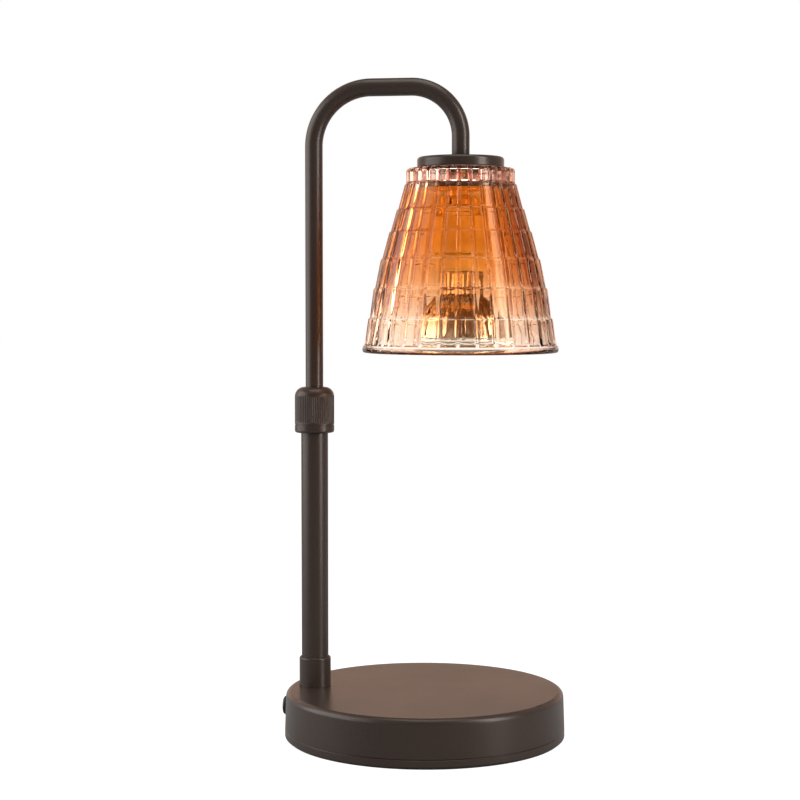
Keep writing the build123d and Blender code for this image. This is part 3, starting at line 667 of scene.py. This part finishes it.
shadeSet = {
    "tiles": amberSet["tiles"],
    "columnsPerTile": 16,
    "tierHeights": np.array([13.2, 11.8, 14.3, 15.4, 15.9, 14.5]) * mm,
    "tierFlares": np.array([3.3, 3.1, 3.6, 2.9, 2.0, 1.9]) * mm,
    "tierStep": 0.9 * mm,
    "rowsPerTier": 12,
    "rowsPerLedge": 5,
    "arch": 0.15 * mm,
    "groove": 0.75 * mm,
    "grooveShare": 0.42,  # of the half tile beside it
    "ledgeCut": 0.35,  # depth of the grooves across a ledge, as a share of the tiles'
    "fade": 0.125,  # of a tile, in which its grooves run out to that
    "crownCut": 1.9,  # depth of the crown's grooves, as a share of the tiles'
    "crownStart": 0.3,  # how far they have risen at its top
    "crownRadius": 28.9 * mm,
    "crownBand": 8.0 * mm,
    "crownRows": 9,
    "crownEdge": 1.9 * mm,
    "edgeRows": 7,
    "crownThickness": 7.5 * mm,
    "crownBore": 6.0 * mm,
    "crownRoof": 1.5 * mm,
    "recess": (25.2 * mm, 9.0 * mm),  # ring moulded into the crown's underside: its two radii
    "recessRounds": (0.4 * mm, 1.0 * mm),  # at its mouth and its ceiling
    "rimHeight": 4.0 * mm,
    "rimRound": 1.2 * mm,
    "rimRows": 5,
    "wall": 3.0 * mm,
    "bulge": 0.9 * mm,
    "bellRows": 34,
    "boreRows": 6,
}


def shadeGlass(s):
    # Outside: rings of tiles. The radius across a tile is that of a flat facet, less a slight arch
    # and a groove along each side whose section is one swing of a cosine. Inside: one smooth bell.
    low, high, centre = boxOf("shade_glass")
    top, mouth, tierTop = high[2], low[2], high[2] - s["crownBand"]
    crown, edge, step = s["crownRadius"], s["crownEdge"], s["tierStep"]

    def rows(height, radius, faceted=0, cut=0):
        return np.stack(np.broadcast_arrays(height, radius, faceted, cut), -1)

    rise, inset = quarterRound(edge, s["edgeRows"])
    start = ease(s["crownStart"] + spread(0, 1, s["edgeRows"]))
    profile = [
        rows(top - rise, crown - inset, 1, s["crownCut"] * start),
        rows(spread(top - edge, tierTop, s["crownRows"])[1:], crown, 1, s["crownCut"]),
    ]
    radius, height, deeper = crown, tierTop, 1 - s["ledgeCut"]
    for tierHeight, flare in zip(s["tierHeights"], s["tierFlares"]):
        t = spread(0, 1, s["rowsPerLedge"])[1:]
        cut = s["ledgeCut"] + deeper * t
        profile.append(rows(height - step * t, radius + step * ease(t), 1, cut))
        radius, start, height = radius + step, height - step, height - tierHeight
        t = spread(0, 1, s["rowsPerTier"])[1:]
        cut = 1 - deeper * ease(1 - (1 - t) / s["fade"])
        profile.append(rows(start + (height - start) * t, radius + flare * t, 1, cut))
        radius += flare
    rim = radius + step
    rise, inset = quarterRound(s["rimRound"], s["rimRows"])
    profile.append(rows(mouth + s["rimHeight"] - rise, rim - inset))
    profile.append(rows(mouth + inset, rim - rise))
    innerTop, innerMouth = crown + step - s["wall"], rim - s["wall"]
    underside, bore, ceiling = top - s["crownThickness"], s["crownBore"], top - s["crownRoof"]
    middle = ((innerTop + innerMouth) / 2 + s["bulge"], (underside + mouth) / 2)
    bell = arcThrough((innerMouth, mouth), middle, (innerTop, underside), s["bellRows"])
    (outer, inner), (mouthRound, ceilingRound) = s["recess"], s["recessRounds"]
    recess = [
        (innerTop, underside, 0),
        (outer, underside, mouthRound),
        (outer, ceiling, ceilingRound),
        (inner, ceiling, ceilingRound),
        (inner, underside, mouthRound),
        (bore, underside, 0),
    ]
    inside = np.concatenate([bell, rounded(recess, loose=True)[1:]])
    profile.append(rows(inside[:, 1], inside[:, 0]))
    profile.append(rows(spread(underside, top, s["boreRows"])[1:], bore))
    profile.append(rows(top, spread(bore, crown - edge, s["boreRows"])[1:-1]))
    height, radius, faceted, cut = np.concatenate(profile).T[:, :, None]
    angle, half = turnsOf(s["tiles"] * s["columnsPerTile"]), math.pi / s["tiles"]
    across = (angle / (2 * half) + 0.5) % 1.0 * 2 - 1  # -1 to 1 over a tile, 0 in its middle
    flat = math.cos(half) / np.cos(across * half)
    swing = np.clip((np.abs(across) - 1) / s["grooveShare"] + 1, 0, 1)
    relief = s["arch"] * across**2 + s["groove"] * (1 - np.cos(math.pi * swing)) / 2
    radius = radius * (1 + faceted * (flat - 1)) - cut * relief
    x, y = centre + radius * np.cos(angle), radius * np.sin(angle)
    return meshFromGrids("shadeGlass", np.stack([x, y, height + 0 * angle], -1))


place(shadeGlass(shadeSet), "arm", "shade_glass", "shade_glass")
print("shade made")

knobSet = {
    "ribs": 54,
    "columnsPerRib": 10,
    "ribDepth": 0.3 * mm,
    "ribShape": 0.8,  # power of the cosine: the lower, the narrower the grooves
    "ribEnds": (0.7 * mm, 1.6 * mm),  # how long the ribs take to run out at foot and top
    "ribsOnDome": 1.2 * mm,
    "ribbedSkin": (1.6 * mm, 0.6 * mm),  # depth from the outside that has ribs, and their fading
    "plainBand": 4.0 * mm,
    "groove": 0.6 * mm,
    "grooveDepth": 0.22 * mm,
    "land": 0.6 * mm,
    "dome": 5.0 * mm,
    "bore": 5.1 * mm,
    "clearance": 7.6 * mm,
    "clearanceHeight": 9.35 * mm,
    "cavity": 7.15 * mm,
    "roof": 3.4 * mm,
    "rowHeight": 0.8 * mm,
}


def clampKnob(s):
    # A domed drum with a plain band and a fine groove at its foot. Its ribs are the absolute cosine
    # of the angle, which leaves round ribs between narrow grooves, and they run out at both ends.
    low, high, x = boxOf("lock_knob")
    outer, foot, top = (high[0] - low[0]) / 2, low[2], high[2]
    grooveFoot = foot + s["plainBand"]
    grooveTop, waist = grooveFoot + s["groove"], outer - s["grooveDepth"]
    step, roof = foot + s["clearanceHeight"], top - s["roof"]
    corners = [
        (s["clearance"], foot, 0.4 * mm),
        (outer, foot, 1.2 * mm),
        (outer, grooveFoot, 0.1 * mm),
        (waist, grooveFoot, 0.08 * mm),
        (waist, grooveTop, 0.08 * mm),
        (outer, grooveTop, 0.1 * mm),
        (outer, top, s["dome"]),
        (s["bore"], top, 0.35 * mm),
        (s["bore"], roof, 0.2 * mm),
        (s["cavity"], roof, 0.2 * mm),
        (s["cavity"], step, 0.1 * mm),
        (s["clearance"], step, 0.1 * mm),
    ]
    ribFoot, ribTop = grooveTop + s["land"], top - s["dome"] + s["ribsOnDome"]
    (footEnd, topEnd), (skin, fading) = s["ribEnds"], s["ribbedSkin"]

    def ribbed(radius, height, angle):
        rib = 1 - np.abs(np.cos(angle * s["ribs"] / 2)) ** s["ribShape"]
        reach = ease((height - ribFoot) / footEnd) * ease((ribTop - height) / topEnd)
        return radius - s["ribDepth"] * rib * reach * ease((radius - outer + skin) / fading)

    outline = finer(rounded(corners, steps=8), s["rowHeight"])
    points = turned(outline, s["ribs"] * s["columnsPerRib"], ribbed)
    return meshFromGrids("clampKnob", points + [x, 0, 0])


armSet = {
    "wall": 0.9 * mm,
    "postBend": 31.0 * mm,
    "dropBend": 26.5 * mm,
    "bendRows": 40,
    "edge": 0.25 * mm,
    "edgeRows": 4,
    "step": 6.0 * mm,
    "columns": 72,
}


def carried(line):
    # A line (across, up) as points in the XZ plane, each with the direction square to the line.
    along, level = headings(line), 0 * line[:, 0]
    middle = np.stack([line[:, 0], level, line[:, 1]], -1)[:, None]
    return middle, np.stack([along[:, 1], level, -along[:, 0]], -1)[:, None]


def armLine(s, foot, end, sides):
    # Middle line of the arm in the XZ plane, two arcs and three straight runs, between two heights.
    # Each point comes with spokes, one a side, square to the line.
    low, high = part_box("arm_tube")
    radius = (high[1] - low[1]) / 2
    left, right, arch = low[0] + radius, high[0] - radius, high[2] - radius
    bends = [(left, arch, s["postBend"]), (right, arch, s["dropBend"])]
    route = rounded([(left, foot, 0), *bends, (right, end, 0)], steps=s["bendRows"], loose=True)
    middle, across = carried(finer(route, s["step"], closed=False))
    angle = turnsOf(sides)[:, None]
    return middle, across * np.cos(angle) + np.array([0, 1, 0]) * np.sin(angle)


def armTube(s):
    # One bent tube: the outer wall goes along its middle line and the inner wall comes back. Both
    # ends point down, and their outer edges are rounded by a quarter of a circle.
    low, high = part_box("arm_tube")
    radius = (high[1] - low[1]) / 2
    middle, spokes = armLine(s, low[2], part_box("drop_washer")[1][2], s["columns"])
    rise, inset = (part[:, None, None] for part in quarterRound(s["edge"], s["edgeRows"]))
    start, end = (middle[i] + [0, 0, 1] * rise + spokes[i] * (radius - inset) for i in (0, -1))
    outside = middle[1:-1] + spokes[1:-1] * radius
    lining = middle + spokes * (radius - s["wall"])
    return meshFromGrids("armTube", np.concatenate([start, outside, end[::-1], lining[::-1]]))


leadSet = {
    "radius": 1.6 * mm,
    "meet": 30.5 * mm,  # how far up the arm the slack lead reaches
    "gap": 0.35 * mm,
    "waves": 5,
    "sway": 1.1 * mm,
    "rings": 220,
    "sides": 24,
}


def slackLead(s):
    # The lead inside the post, with the slack that the arm takes up: level rings whose middle goes
    # round the post's axis in a helix, which is widest halfway up.
    low, _, centre = boxOf("post_lead")
    foot, top = low[2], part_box("arm_lead")[0][2] + s["meet"] - s["gap"]
    share = spread(0, 1, s["rings"])[:, None]
    turn, sway = share * s["waves"] * 2 * math.pi, s["sway"] * np.sin(share * math.pi)
    angle = turnsOf(s["sides"])
    x = centre + sway * np.cos(turn) + s["radius"] * np.cos(angle)
    y = sway * np.sin(turn) + s["radius"] * np.sin(angle)
    height = foot + (top - foot) * share + 0 * angle
    lead = capped("slackLead", np.stack([x, y, height], -1))
    lead.data.materials.append(finishes["wire"])
    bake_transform(lead)
    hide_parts("post_lead")


def archLead(s):
    # The lead inside the arm, from where the slack one ends to the hanger: a circle carried along
    # the arm's line.
    foot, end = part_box("arm_lead")[0][2] + s["meet"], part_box("hanger_nipple")[0][2]
    middle, spokes = armLine(armSet, foot, end, s["sides"])
    return capped("archLead", middle + spokes * s["radius"])


# Turned parts: node, body, slot and corners, which are (radius, height above the part's foot,
# rounding) in millimetres. The plate has no node of its own and is let into the disc's underside.
turnedSet = {
    "footCollar": (
        ("foot_collar", "base", "powder_coat"),
        [(7.35, 0, 0.1), (8.5, 0, 0.15), (8.5, 16.0, 0.9), (7.35, 16.0, 0.2)],
    ),
    "dropWasher": (
        ("drop_washer", "arm", "powder_coat"),
        [(3.9, 0, 0.1), (6.3, 0, 0.2), (6.3, 1.2, 0.55), (3.9, 1.2, 0.1)],
    ),
    "shadeCap": (
        ("shade_cap", "arm", "powder_coat"),
        [(3.9, 5.5, 0.1), (23, 5.5, 1.8), (23, 0, 0.45)]
        + [(21.8, 0, 0.3), (21.8, 4.3, 0.6), (3.9, 4.3, 0.1)],
    ),
    "clampDisc": (
        ("clamp_disc", "arm", "powder_coat"),
        [(3.9, 0.5, 0.1), (22.6, 0.5, 0.1), (22.6, 0, 0.1)]
        + [(24, 0, 0.5), (24, 2.4, 0.35), (3.9, 2.4, 0.1)],
    ),
    "discPlate": (
        ("clamp_disc", "arm", "brass"),
        [(3.9, 0, 0.1), (22.5, 0, 0.2), (22.5, 0.5, 0.1), (3.9, 0.5, 0.1)],
    ),
    "bulbNeck": (
        ("bulb_neck", "bulb", "ceramic"),
        [(0, 0, 0), (12.6, 0, 0.3), (12.6, 0.9, 0.3), (13, 1.3, 0.3)]
        + [(13, 6.4, 0.5), (11.4, 8, 0.4), (0, 8, 0)],
    ),
    "bulbBurner": (
        ("bulb_burner", "bulb", "lens"),
        [(0, 0, 0), (4.5, 0, 3.0), (4.5, 12.2, 1.6), (2.3, 14.2, 1.2)]
        + [(2.25, 20, 0.2), (0, 20, 0)],
    ),
}
turnedRow = 1.2 * mm


def turnedPart(name, node, corners):
    low, high, x = boxOf(node)
    outline = finer(rounded(np.array(corners) * mm), turnedRow)
    return meshFromGrids(name, turned(outline, roundColumns) + [x, (low[1] + high[1]) / 2, low[2]])


place(clampKnob(knobSet), "lock_knob", "powder_coat", "lock_knob")
place(armTube(armSet), "arm", "powder_coat", "arm_tube")
place(archLead(leadSet), "arm", "wire", "arm_lead")
slackLead(leadSet)
for name, ((node, body, slot), corners) in turnedSet.items():
    replaced = None if name == "discPlate" else node
    place(turnedPart(name, node, corners), body, slot, replaced)
print("knob, arm and turned parts made")

nutSet = {
    "width": 13.0 * mm,
    "height": 4.0 * mm,
    "bore": 3.85 * mm,
    "chamfer": 0.75 * mm,
    "slope": 0.43 * mm,
    "flange": {"disc_nut": (11.5 * mm, 1.1 * mm), "bracket_nut": (0, 0)},  # radius, thickness
    "step": 0.5 * mm,
    "margin": 0.01 * mm,
}


def hexNut(name, node, s):
    # A hexagon cut from a chamfered ring: the radius is the smaller of the ring's and the
    # hexagon's, which is half the width over the cosine of the angle from the nearest flat's
    # middle. Its flange stays round.
    low, _, x = boxOf(node)
    corner, bore, height = s["width"] / math.sqrt(3), s["bore"], s["height"]
    radius, thickness = s["flange"][node]
    hexTop, bevelled = height - thickness, corner - s["chamfer"]
    corners = [(bore, 0, 0.25 * mm), (bevelled, 0, 0.1 * mm), (corner, s["slope"], 0.1 * mm)]
    if thickness:
        corners += [(corner, hexTop, 0), (radius, hexTop, 0.3 * mm), (radius, height, 0.2 * mm)]
    else:
        corners += [(corner, hexTop - s["slope"], 0.1 * mm), (bevelled, hexTop, 0.1 * mm)]
    outline = finer(rounded(corners + [(bore, height, 0.25 * mm)], steps=4), s["step"])

    def hexagon(radius, height, angle):
        flat = s["width"] / 2 / np.cos(angle % (math.pi / 3) - math.pi / 6)
        isHexagon = (height < hexTop + s["margin"]) & (radius < corner + s["margin"])
        return np.where(isHexagon, np.minimum(radius, flat), radius)

    return meshFromGrids(name, turned(outline, roundColumns, hexagon) + [x, 0, low[2]])


nippleSet = {
    "pitch": 1.0 * mm,
    "rowsPerTurn": 8,
    "columns": 36,
    "depth": 0.42 * mm,
    "bore": 2.6 * mm,
    "plainWall": 0.6 * mm,  # round the bore, which the thread doesn't reach
}


def hangerNipple(s):
    # Threaded pipe: the outer radius drops by the thread's depth times a triangle wave of the
    # height over the pitch plus the turn.
    low, high, x = boxOf("hanger_nipple")
    outer, length, bore = (high[0] - low[0]) / 2, high[2] - low[2], s["bore"]
    corners = [(bore, 0, 0.2), (outer, 0, 0.4), (outer, length, 0.4), (bore, length, 0.2)]
    corners = [(across, up, rounding * mm) for across, up, rounding in corners]
    outline = finer(rounded(corners, steps=4), s["pitch"] / s["rowsPerTurn"])

    def threaded(radius, height, angle):
        wave = np.abs((height / s["pitch"] + angle / (2 * math.pi)) % 1.0 * 2 - 1)
        return radius - np.where(radius > bore + s["plainWall"], s["depth"] * wave, 0)

    return meshFromGrids("hangerNipple", turned(outline, s["columns"], threaded) + [x, 0, low[2]])


strapSet = {
    "thickness": 1.2 * mm,
    "bend": 1.0 * mm,
    "edge": 0.35 * mm,
    "foot": 6.0 * mm,
    "step": 2.0 * mm,
}


def holderStrap(s):
    # A strap with four bends. Its section, a bar with rounded edges, is carried along its line.
    low, high, x = boxOf("holder_bracket")
    half, edge, width = s["thickness"] / 2, s["edge"], (high[1] - low[1]) / 2
    wide, foot, top = (high[0] - low[0]) / 2, low[2] + half, high[2] - half
    leg = wide - s["foot"] + half
    route = [(-wide, foot, 0), (-leg, foot, s["bend"]), (-leg, top, s["bend"])]
    route = np.array(route + [(-a, b, c) for a, b, c in route[::-1]]) + [x, 0, 0]
    middle, across = carried(finer(rounded(route, steps=8, loose=True), s["step"], closed=False))
    corners = [(-half, -width), (half, -width), (half, width), (-half, width)]
    section = rounded([(*corner, edge) for corner in corners], steps=4)[None]
    tube = middle - across * section[..., :1] + np.array([0, 1, 0]) * section[..., 1:]
    return capped("holderStrap", tube)


bulbSet = {
    "flutes": 24,
    "columnsPerFlute": 12,
    "fluteDepth": 0.45 * mm,
    "facetRings": 9,
    "facetDepth": 0.28 * mm,
    "facetShare": 0.65,  # how much the flutes shape the facets inside
    "facetLevel": 0.6,  # height within a facet that lies on the smooth bowl
    "fade": (0.08, 0.05),  # of the height, near the rim and near the top
    "clearRim": 4.6 * mm,
    "rimWall": 1.2 * mm,
    "neckRadius": 12.2 * mm,
    "neckHeight": 11.0 * mm,
    "bulge": 3.2 * mm,
    "wall": 1.2 * mm,
    "neckRows": 20,
    "bowlRows": (56, 80),  # outside and inside
}


def mirroredBowl(s):
    # Outside: a straight neck, then an arc out to the clear rim, both scalloped by the absolute
    # sine of the angle. Inside: the same line one wall further in, with its facets in rings.
    low, high, x = boxOf("bulb_reflector")
    radius, top, rim = (high[0] - low[0]) / 2, high[2], low[2] + s["clearRim"]
    neck, lining, bowlTop = s["neckRadius"], s["neckRadius"] - s["wall"], top - s["neckHeight"]
    middle, level = (neck + radius) / 2 + s["bulge"], (bowlTop + rim) / 2
    height = spread(top, bowlTop, s["neckRows"] + 1)[:-1]
    (outer, inner), wallRim = s["bowlRows"], (radius - s["rimWall"], rim)
    outline = np.concatenate(
        [
            np.stack([0 * height + neck, height], -1),
            arcThrough((neck, bowlTop), (middle, level), (radius, rim), outer),
            arcThrough(wallRim, (middle - s["wall"], level), (lining, bowlTop), inner),
            np.stack([0 * height + lining, height[::-1]], -1),
        ]
    )
    isOutside = (np.arange(len(outline)) < s["neckRows"] + outer)[:, None]

    def cut(radius, height, angle):
        up = (height - rim) / (top - rim)
        fade = ease(up / s["fade"][0]) * ease((1 - up) / s["fade"][1])
        scallop = np.abs(np.sin(angle * s["flutes"] / 2))
        ring = np.abs(np.sin(math.pi * s["facetRings"] * up))
        facet = ring * (1 - s["facetShare"] * (1 - scallop)) - s["facetLevel"]
        fluted = radius - s["fluteDepth"] * (1 - scallop) * fade
        return np.where(isOutside, fluted, radius + s["facetDepth"] * facet * fade)

    points = turned(outline, s["flutes"] * s["columnsPerFlute"], cut)
    return meshFromGrids("mirroredBowl", points + [x, 0, 0])


lensShapeSet = {
    "crown": 0.6 * mm,
    "crownBend": (0.6, 0.36),  # a point on the crown: share of the radius, share of its rise
    "edge": 0.7 * mm,
    "floor": 2.6 * mm,
    "pillow": 2.4 * mm,
    "pillowDepth": 0.3 * mm,
    "plainEdge": 0.6 * mm,
    "fading": 2.0 * mm,
    "step": 0.5 * mm,
}


def bulbLens(s):
    # Front glass: a shallow crown outside that turns up into the bulb's clear rim. Inside, a field
    # of small pillows, the squared product of two cosines, fades towards its edge.
    low, high, centre = boxOf("bulb_reflector")
    outer, foot, brim = (high[0] - low[0]) / 2, low[2], bulbSet["clearRim"]
    bore, (share, lift) = outer - bulbSet["rimWall"], s["crownBend"]
    corners = [
        (0, 0, 0),
        (outer * share, s["crown"] * lift, 0),
        (outer, s["crown"], s["edge"]),
        (outer, brim, 0.2 * mm),
        (bore, brim, 0.2 * mm),
        (bore, s["floor"], 0.4 * mm),
        (0, s["floor"], 0),
    ]
    points = turned(finer(rounded(corners), s["step"]), roundColumns)
    x, y, z = np.moveaxis(points, -1, 0)
    pillow = np.cos(x * math.pi / s["pillow"]) * np.cos(y * math.pi / s["pillow"])
    field = ease((bore - np.hypot(x, y) - s["plainEdge"]) / s["fading"])
    points[..., 2] = foot + z - s["pillowDepth"] * pillow**2 * field * np.isclose(z, s["floor"])
    return meshFromGrids("bulbLens", points + [centre, 0, 0])


coilSet = {
    "above": 4.0 * mm,
    "turns": 9,
    "pitch": 0.75 * mm,
    "radius": 1.0 * mm,
    "wire": 0.14 * mm,
    "rowsPerTurn": 20,
    "sides": 8,
}


def filamentCoil(s):
    # A coil of fine wire: a circle carried along a helix about the burner's axis.
    low, _, x = boxOf("bulb_burner")
    t = spread(0, s["turns"] * 2 * math.pi, s["turns"] * s["rowsPerTurn"])[:, None]
    around = turnsOf(s["sides"])
    radius = s["radius"] + s["wire"] * np.cos(around)
    rise = low[2] + s["above"] + s["pitch"] * t / (2 * math.pi) + s["wire"] * np.sin(around)
    return capped("filament", np.stack([x + radius * np.cos(t), radius * np.sin(t), rise], -1))


screwSet = {
    "seat": 1.2 * mm,
    "shank": 1.25 * mm,
    "slotWidth": 0.7 * mm,
    "slotDepth": 0.75 * mm,
    "slotShare": 0.93,  # of that depth, the height of the head's points that drop
    "columns": 64,
    "step": 0.25 * mm,
}


def holderScrews(s):
    # Two slotted cheese-head screws: the slot drops the points of the head's top that lie in it.
    low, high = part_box("holder_screws")
    seat, top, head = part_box("holder_bracket")[0][2] + s["seat"], high[2], (high[1] - low[1]) / 2
    corners = [
        (0, top, 0),
        (head, top, 0.6 * mm),
        (head, seat, 0.1 * mm),
        (s["shank"], seat, 0.1 * mm),
        (s["shank"], low[2], 0.4 * mm),
        (0, low[2], 0),
    ]
    points = turned(finer(rounded(corners, steps=5), s["step"]), s["columns"])
    inSlot = np.abs(points[..., 1]) < s["slotWidth"] / 2
    inSlot &= points[..., 2] > top - s["slotDepth"] * s["slotShare"]
    points[..., 2] -= np.where(inSlot, s["slotDepth"], 0)
    both = (points + [x, 0, 0] for x in (low[0] + head, high[0] - head))
    return meshFromGrids("holderScrews", *both)


glandSet = {
    "bore": 3.1 * mm,
    "body": 4.0 * mm,
    "flange": 5.0 * mm,
    "flangeLength": 2.5 * mm,
    "columns": 96,
    "step": 0.5 * mm,
}


def cordGland(s):
    # Turned bush in the base's wall, its axis along X: a rounded flange and a bell-mouthed hole for
    # the cord.
    low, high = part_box("cord_gland")
    length, level = high[0] - low[0], (low[2] + high[2]) / 2
    shoulder = length - s["flangeLength"]
    corners = [
        (s["bore"], 0, 0.3 * mm),
        (s["body"], 0, 0.2 * mm),
        (s["body"], shoulder, 0.1 * mm),
        (s["flange"], shoulder, 0.2 * mm),
        (s["flange"], length, 1.2 * mm),
        (s["bore"], length, 0.6 * mm),
    ]
    points = turned(finer(rounded(corners, steps=8), s["step"]), s["columns"])
    x, y, z = np.moveaxis(points, -1, 0)
    return meshFromGrids("cordGland", np.stack([high[0] - z, y, level + x], -1))


place(hexNut("discNut", "disc_nut", nutSet), "arm", "brass", "disc_nut")
place(hexNut("bracketNut", "bracket_nut", nutSet), "arm", "brass", "bracket_nut")
place(hangerNipple(nippleSet), "arm", "brass", "hanger_nipple")
place(holderStrap(strapSet), "arm", "brass", "holder_bracket")
place(holderScrews(screwSet), "arm", "steel", "holder_screws")
place(mirroredBowl(bulbSet), "bulb", "reflector", "bulb_reflector")
place(bulbLens(lensShapeSet), "bulb", "lens", "bulb_lens")
place(filamentCoil(coilSet), "bulb", "steel")
place(cordGland(glandSet), "base", "nylon", "cord_gland")
print("hanger, holder, bulb and cord inlet made")

floorSet = {
    "halfSize": 8.0,
    "bounce": 0.25,  # its shade for light that it throws back
    "shadow": 0.3,  # its shade that takes the shadow, on top of the glow
    "glow": 0.89,
    "gloss": (-0.3, 0.9, 0.088, 0.264),  # from front to back, how bright it looks in gloss there
}


def makeFloor(s):
    # Pale and glowing for the camera and through glass, plain for the light that it throws back. In
    # gloss it is dimmer towards the front, like the studio.
    x, y = np.meshgrid(*[spread(-s["halfSize"], s["halfSize"], 3)] * 2, indexing="ij")
    points = np.stack([x, y, 0 * x], -1)
    floor = meshFromGrids("floor", points, closeRows=False, closeColumns=False)
    pale = newFinish("paleFloor")
    camera, gloss, through = pale.rays()
    seen = camera.atLeast(through)
    glow = seen * s["glow"] + (1 - seen) * pale.remap(pale.along("Y"), *s["gloss"])
    bounce, shadow = (
        pale.add("ShaderNodeBsdfDiffuse", None, {"Color": rgb(shade, shade, shade)})
        for shade in (s["bounce"], s["shadow"])
    )
    glowing = pale.add("ShaderNodeEmission", None, {"Color": rgb(1, 1, 1), "Strength": glow})
    pictured = pale.add("ShaderNodeAddShader", None, {0: shadow, 1: glowing})
    sockets = {0: seen.atLeast(gloss), 1: bounce, 2: pictured}
    both = pale.add("ShaderNodeMixShader", None, sockets)
    pale.join(both, pale.output.inputs["Surface"])
    floor.data.materials.append(pale.owner)


studioSet = {
    "world": 0.4,
    "warmth": rgb(1.0, 0.63, 0.46),  # of the dim parts and the backdrop
    "warmShare": 0.6,  # of it at the sides and behind the shade
    "front": 0.088,  # how bright the front looks in gloss
    "low": 0.25,  # how much brighter the lowest part looks through glass
    # Regions: how strong each is, then where along a direction it starts and is full. Directions
    # are parts of a unit vector, X right, Y ahead and Z up, and |Y| is the size of Y.
    "regions": {
        "above": (1.0, ("Z", 0.0, 0.1)),
        # through glass
        "corners": (-0.55, ("|Y|", 0.12, 0.4), ("|Y|", 0.97, 0.8)),
        "right": (-0.25, ("X", 0.05, 0.6)),
        "panel": (2.6, ("X", -0.55, -0.8)),
        # in gloss
        "backdrop": (0.42, ("Y", 0.6, 0.9), ("Z", 0.02, 0.14), ("Z", 0.5, 0.3)),
        "grazing": (0.38, ("Y", 0.9, 0.99)),
        "level": (0.6, ("|Z|", 0.14, 0.07), ("Y", 0.75, 0.95)),
        "sides": (0.3, ("|X|", 0.15, 0.35), ("Y", 0.2, 0.5)),
        "left": (0.3, ("X", -0.3, -0.6)),
    },
}


def makeStudio(s):
    # World: white for the camera. Through glass the studio is white ahead and behind and darker in
    # its corners; in gloss it is dim but for the backdrop. Everything else gets one plain level.
    world = bpy.data.worlds.new("studio")
    studio = Trees(world, "ShaderNodeOutputWorld")
    camera, gloss, through = studio.rays()
    spot = studio.add("ShaderNodeTexCoord", output="Generated")
    towards = {axis: studio.along(axis, spot) for axis in "XYZ"}
    towards.update({"|" + axis + "|": towards[axis].size() for axis in "XYZ"})
    mask, part = {}, {}
    for name, (strength, *limits) in s["regions"].items():
        mask[name] = product(studio.remap(towards[axis], *ends) for axis, *ends in limits)
        part[name] = mask[name] * strength
    dip = (part["corners"] + part["right"]) * mask["above"]
    inGlass = 1 + dip + part["panel"] + s["low"] * (1 - mask["above"])
    glossy = ("backdrop", "grazing", "level", "sides", "left")
    inGloss = sum((part[name] for name in glossy), s["front"])
    mirrored = gloss.atLeast(through)
    shown = mirrored * (through * inGlass + (1 - through) * inGloss) + (1 - mirrored) * s["world"]
    strength = camera + (1 - camera) * shown
    glints = mask["sides"].atLeast(mask["level"]) * s["warmShare"]
    warm = (1 - through) * mask["backdrop"].atLeast(glints) - through * dip
    colour = studio.blend((1 - camera) * mirrored * warm, rgb(1, 1, 1), s["warmth"])
    sky = studio.add("ShaderNodeBackground", None, {"Color": colour, "Strength": strength})
    studio.join(sky, studio.output.inputs["Surface"])
    bpy.context.scene.world = world


lampTarget = (0, 0, 0.2)
lampSet = {  # size is width and height in metres, power is in watts
    "left": {"place": (-0.95, -0.2, 0.42), "size": (1.1, 1.1), "power": 10.5},
    "right": {"place": (0.83, -0.36, 0.42), "size": (0.26, 1.1), "power": 8.5},
    "top": {"place": (0.05, -0.1, 1.3), "size": (0.8, 0.8), "power": 5.0},
}


def makeLamp(name, s):
    # A soft panel turned towards the target.
    data = bpy.data.lights.new(name, "AREA")
    data.shape = "RECTANGLE"
    data.size, data.size_y = s["size"]
    data.energy = s["power"]
    lamp = bpy.data.objects.new(name, data)
    lamp.location = s["place"]
    x, y, z = np.array(lampTarget) - np.array(s["place"])
    lamp.rotation_euler = (math.atan2(math.hypot(x, y), -z), 0, math.atan2(y, x) - math.pi / 2)
    bpy.context.scene.collection.objects.link(lamp)


makeFloor(floorSet)
makeStudio(studioSet)
for name, settings in lampSet.items():
    makeLamp(name, settings)
bpy.context.scene.view_settings.view_transform = "Standard"
print("stage and lamps ready")
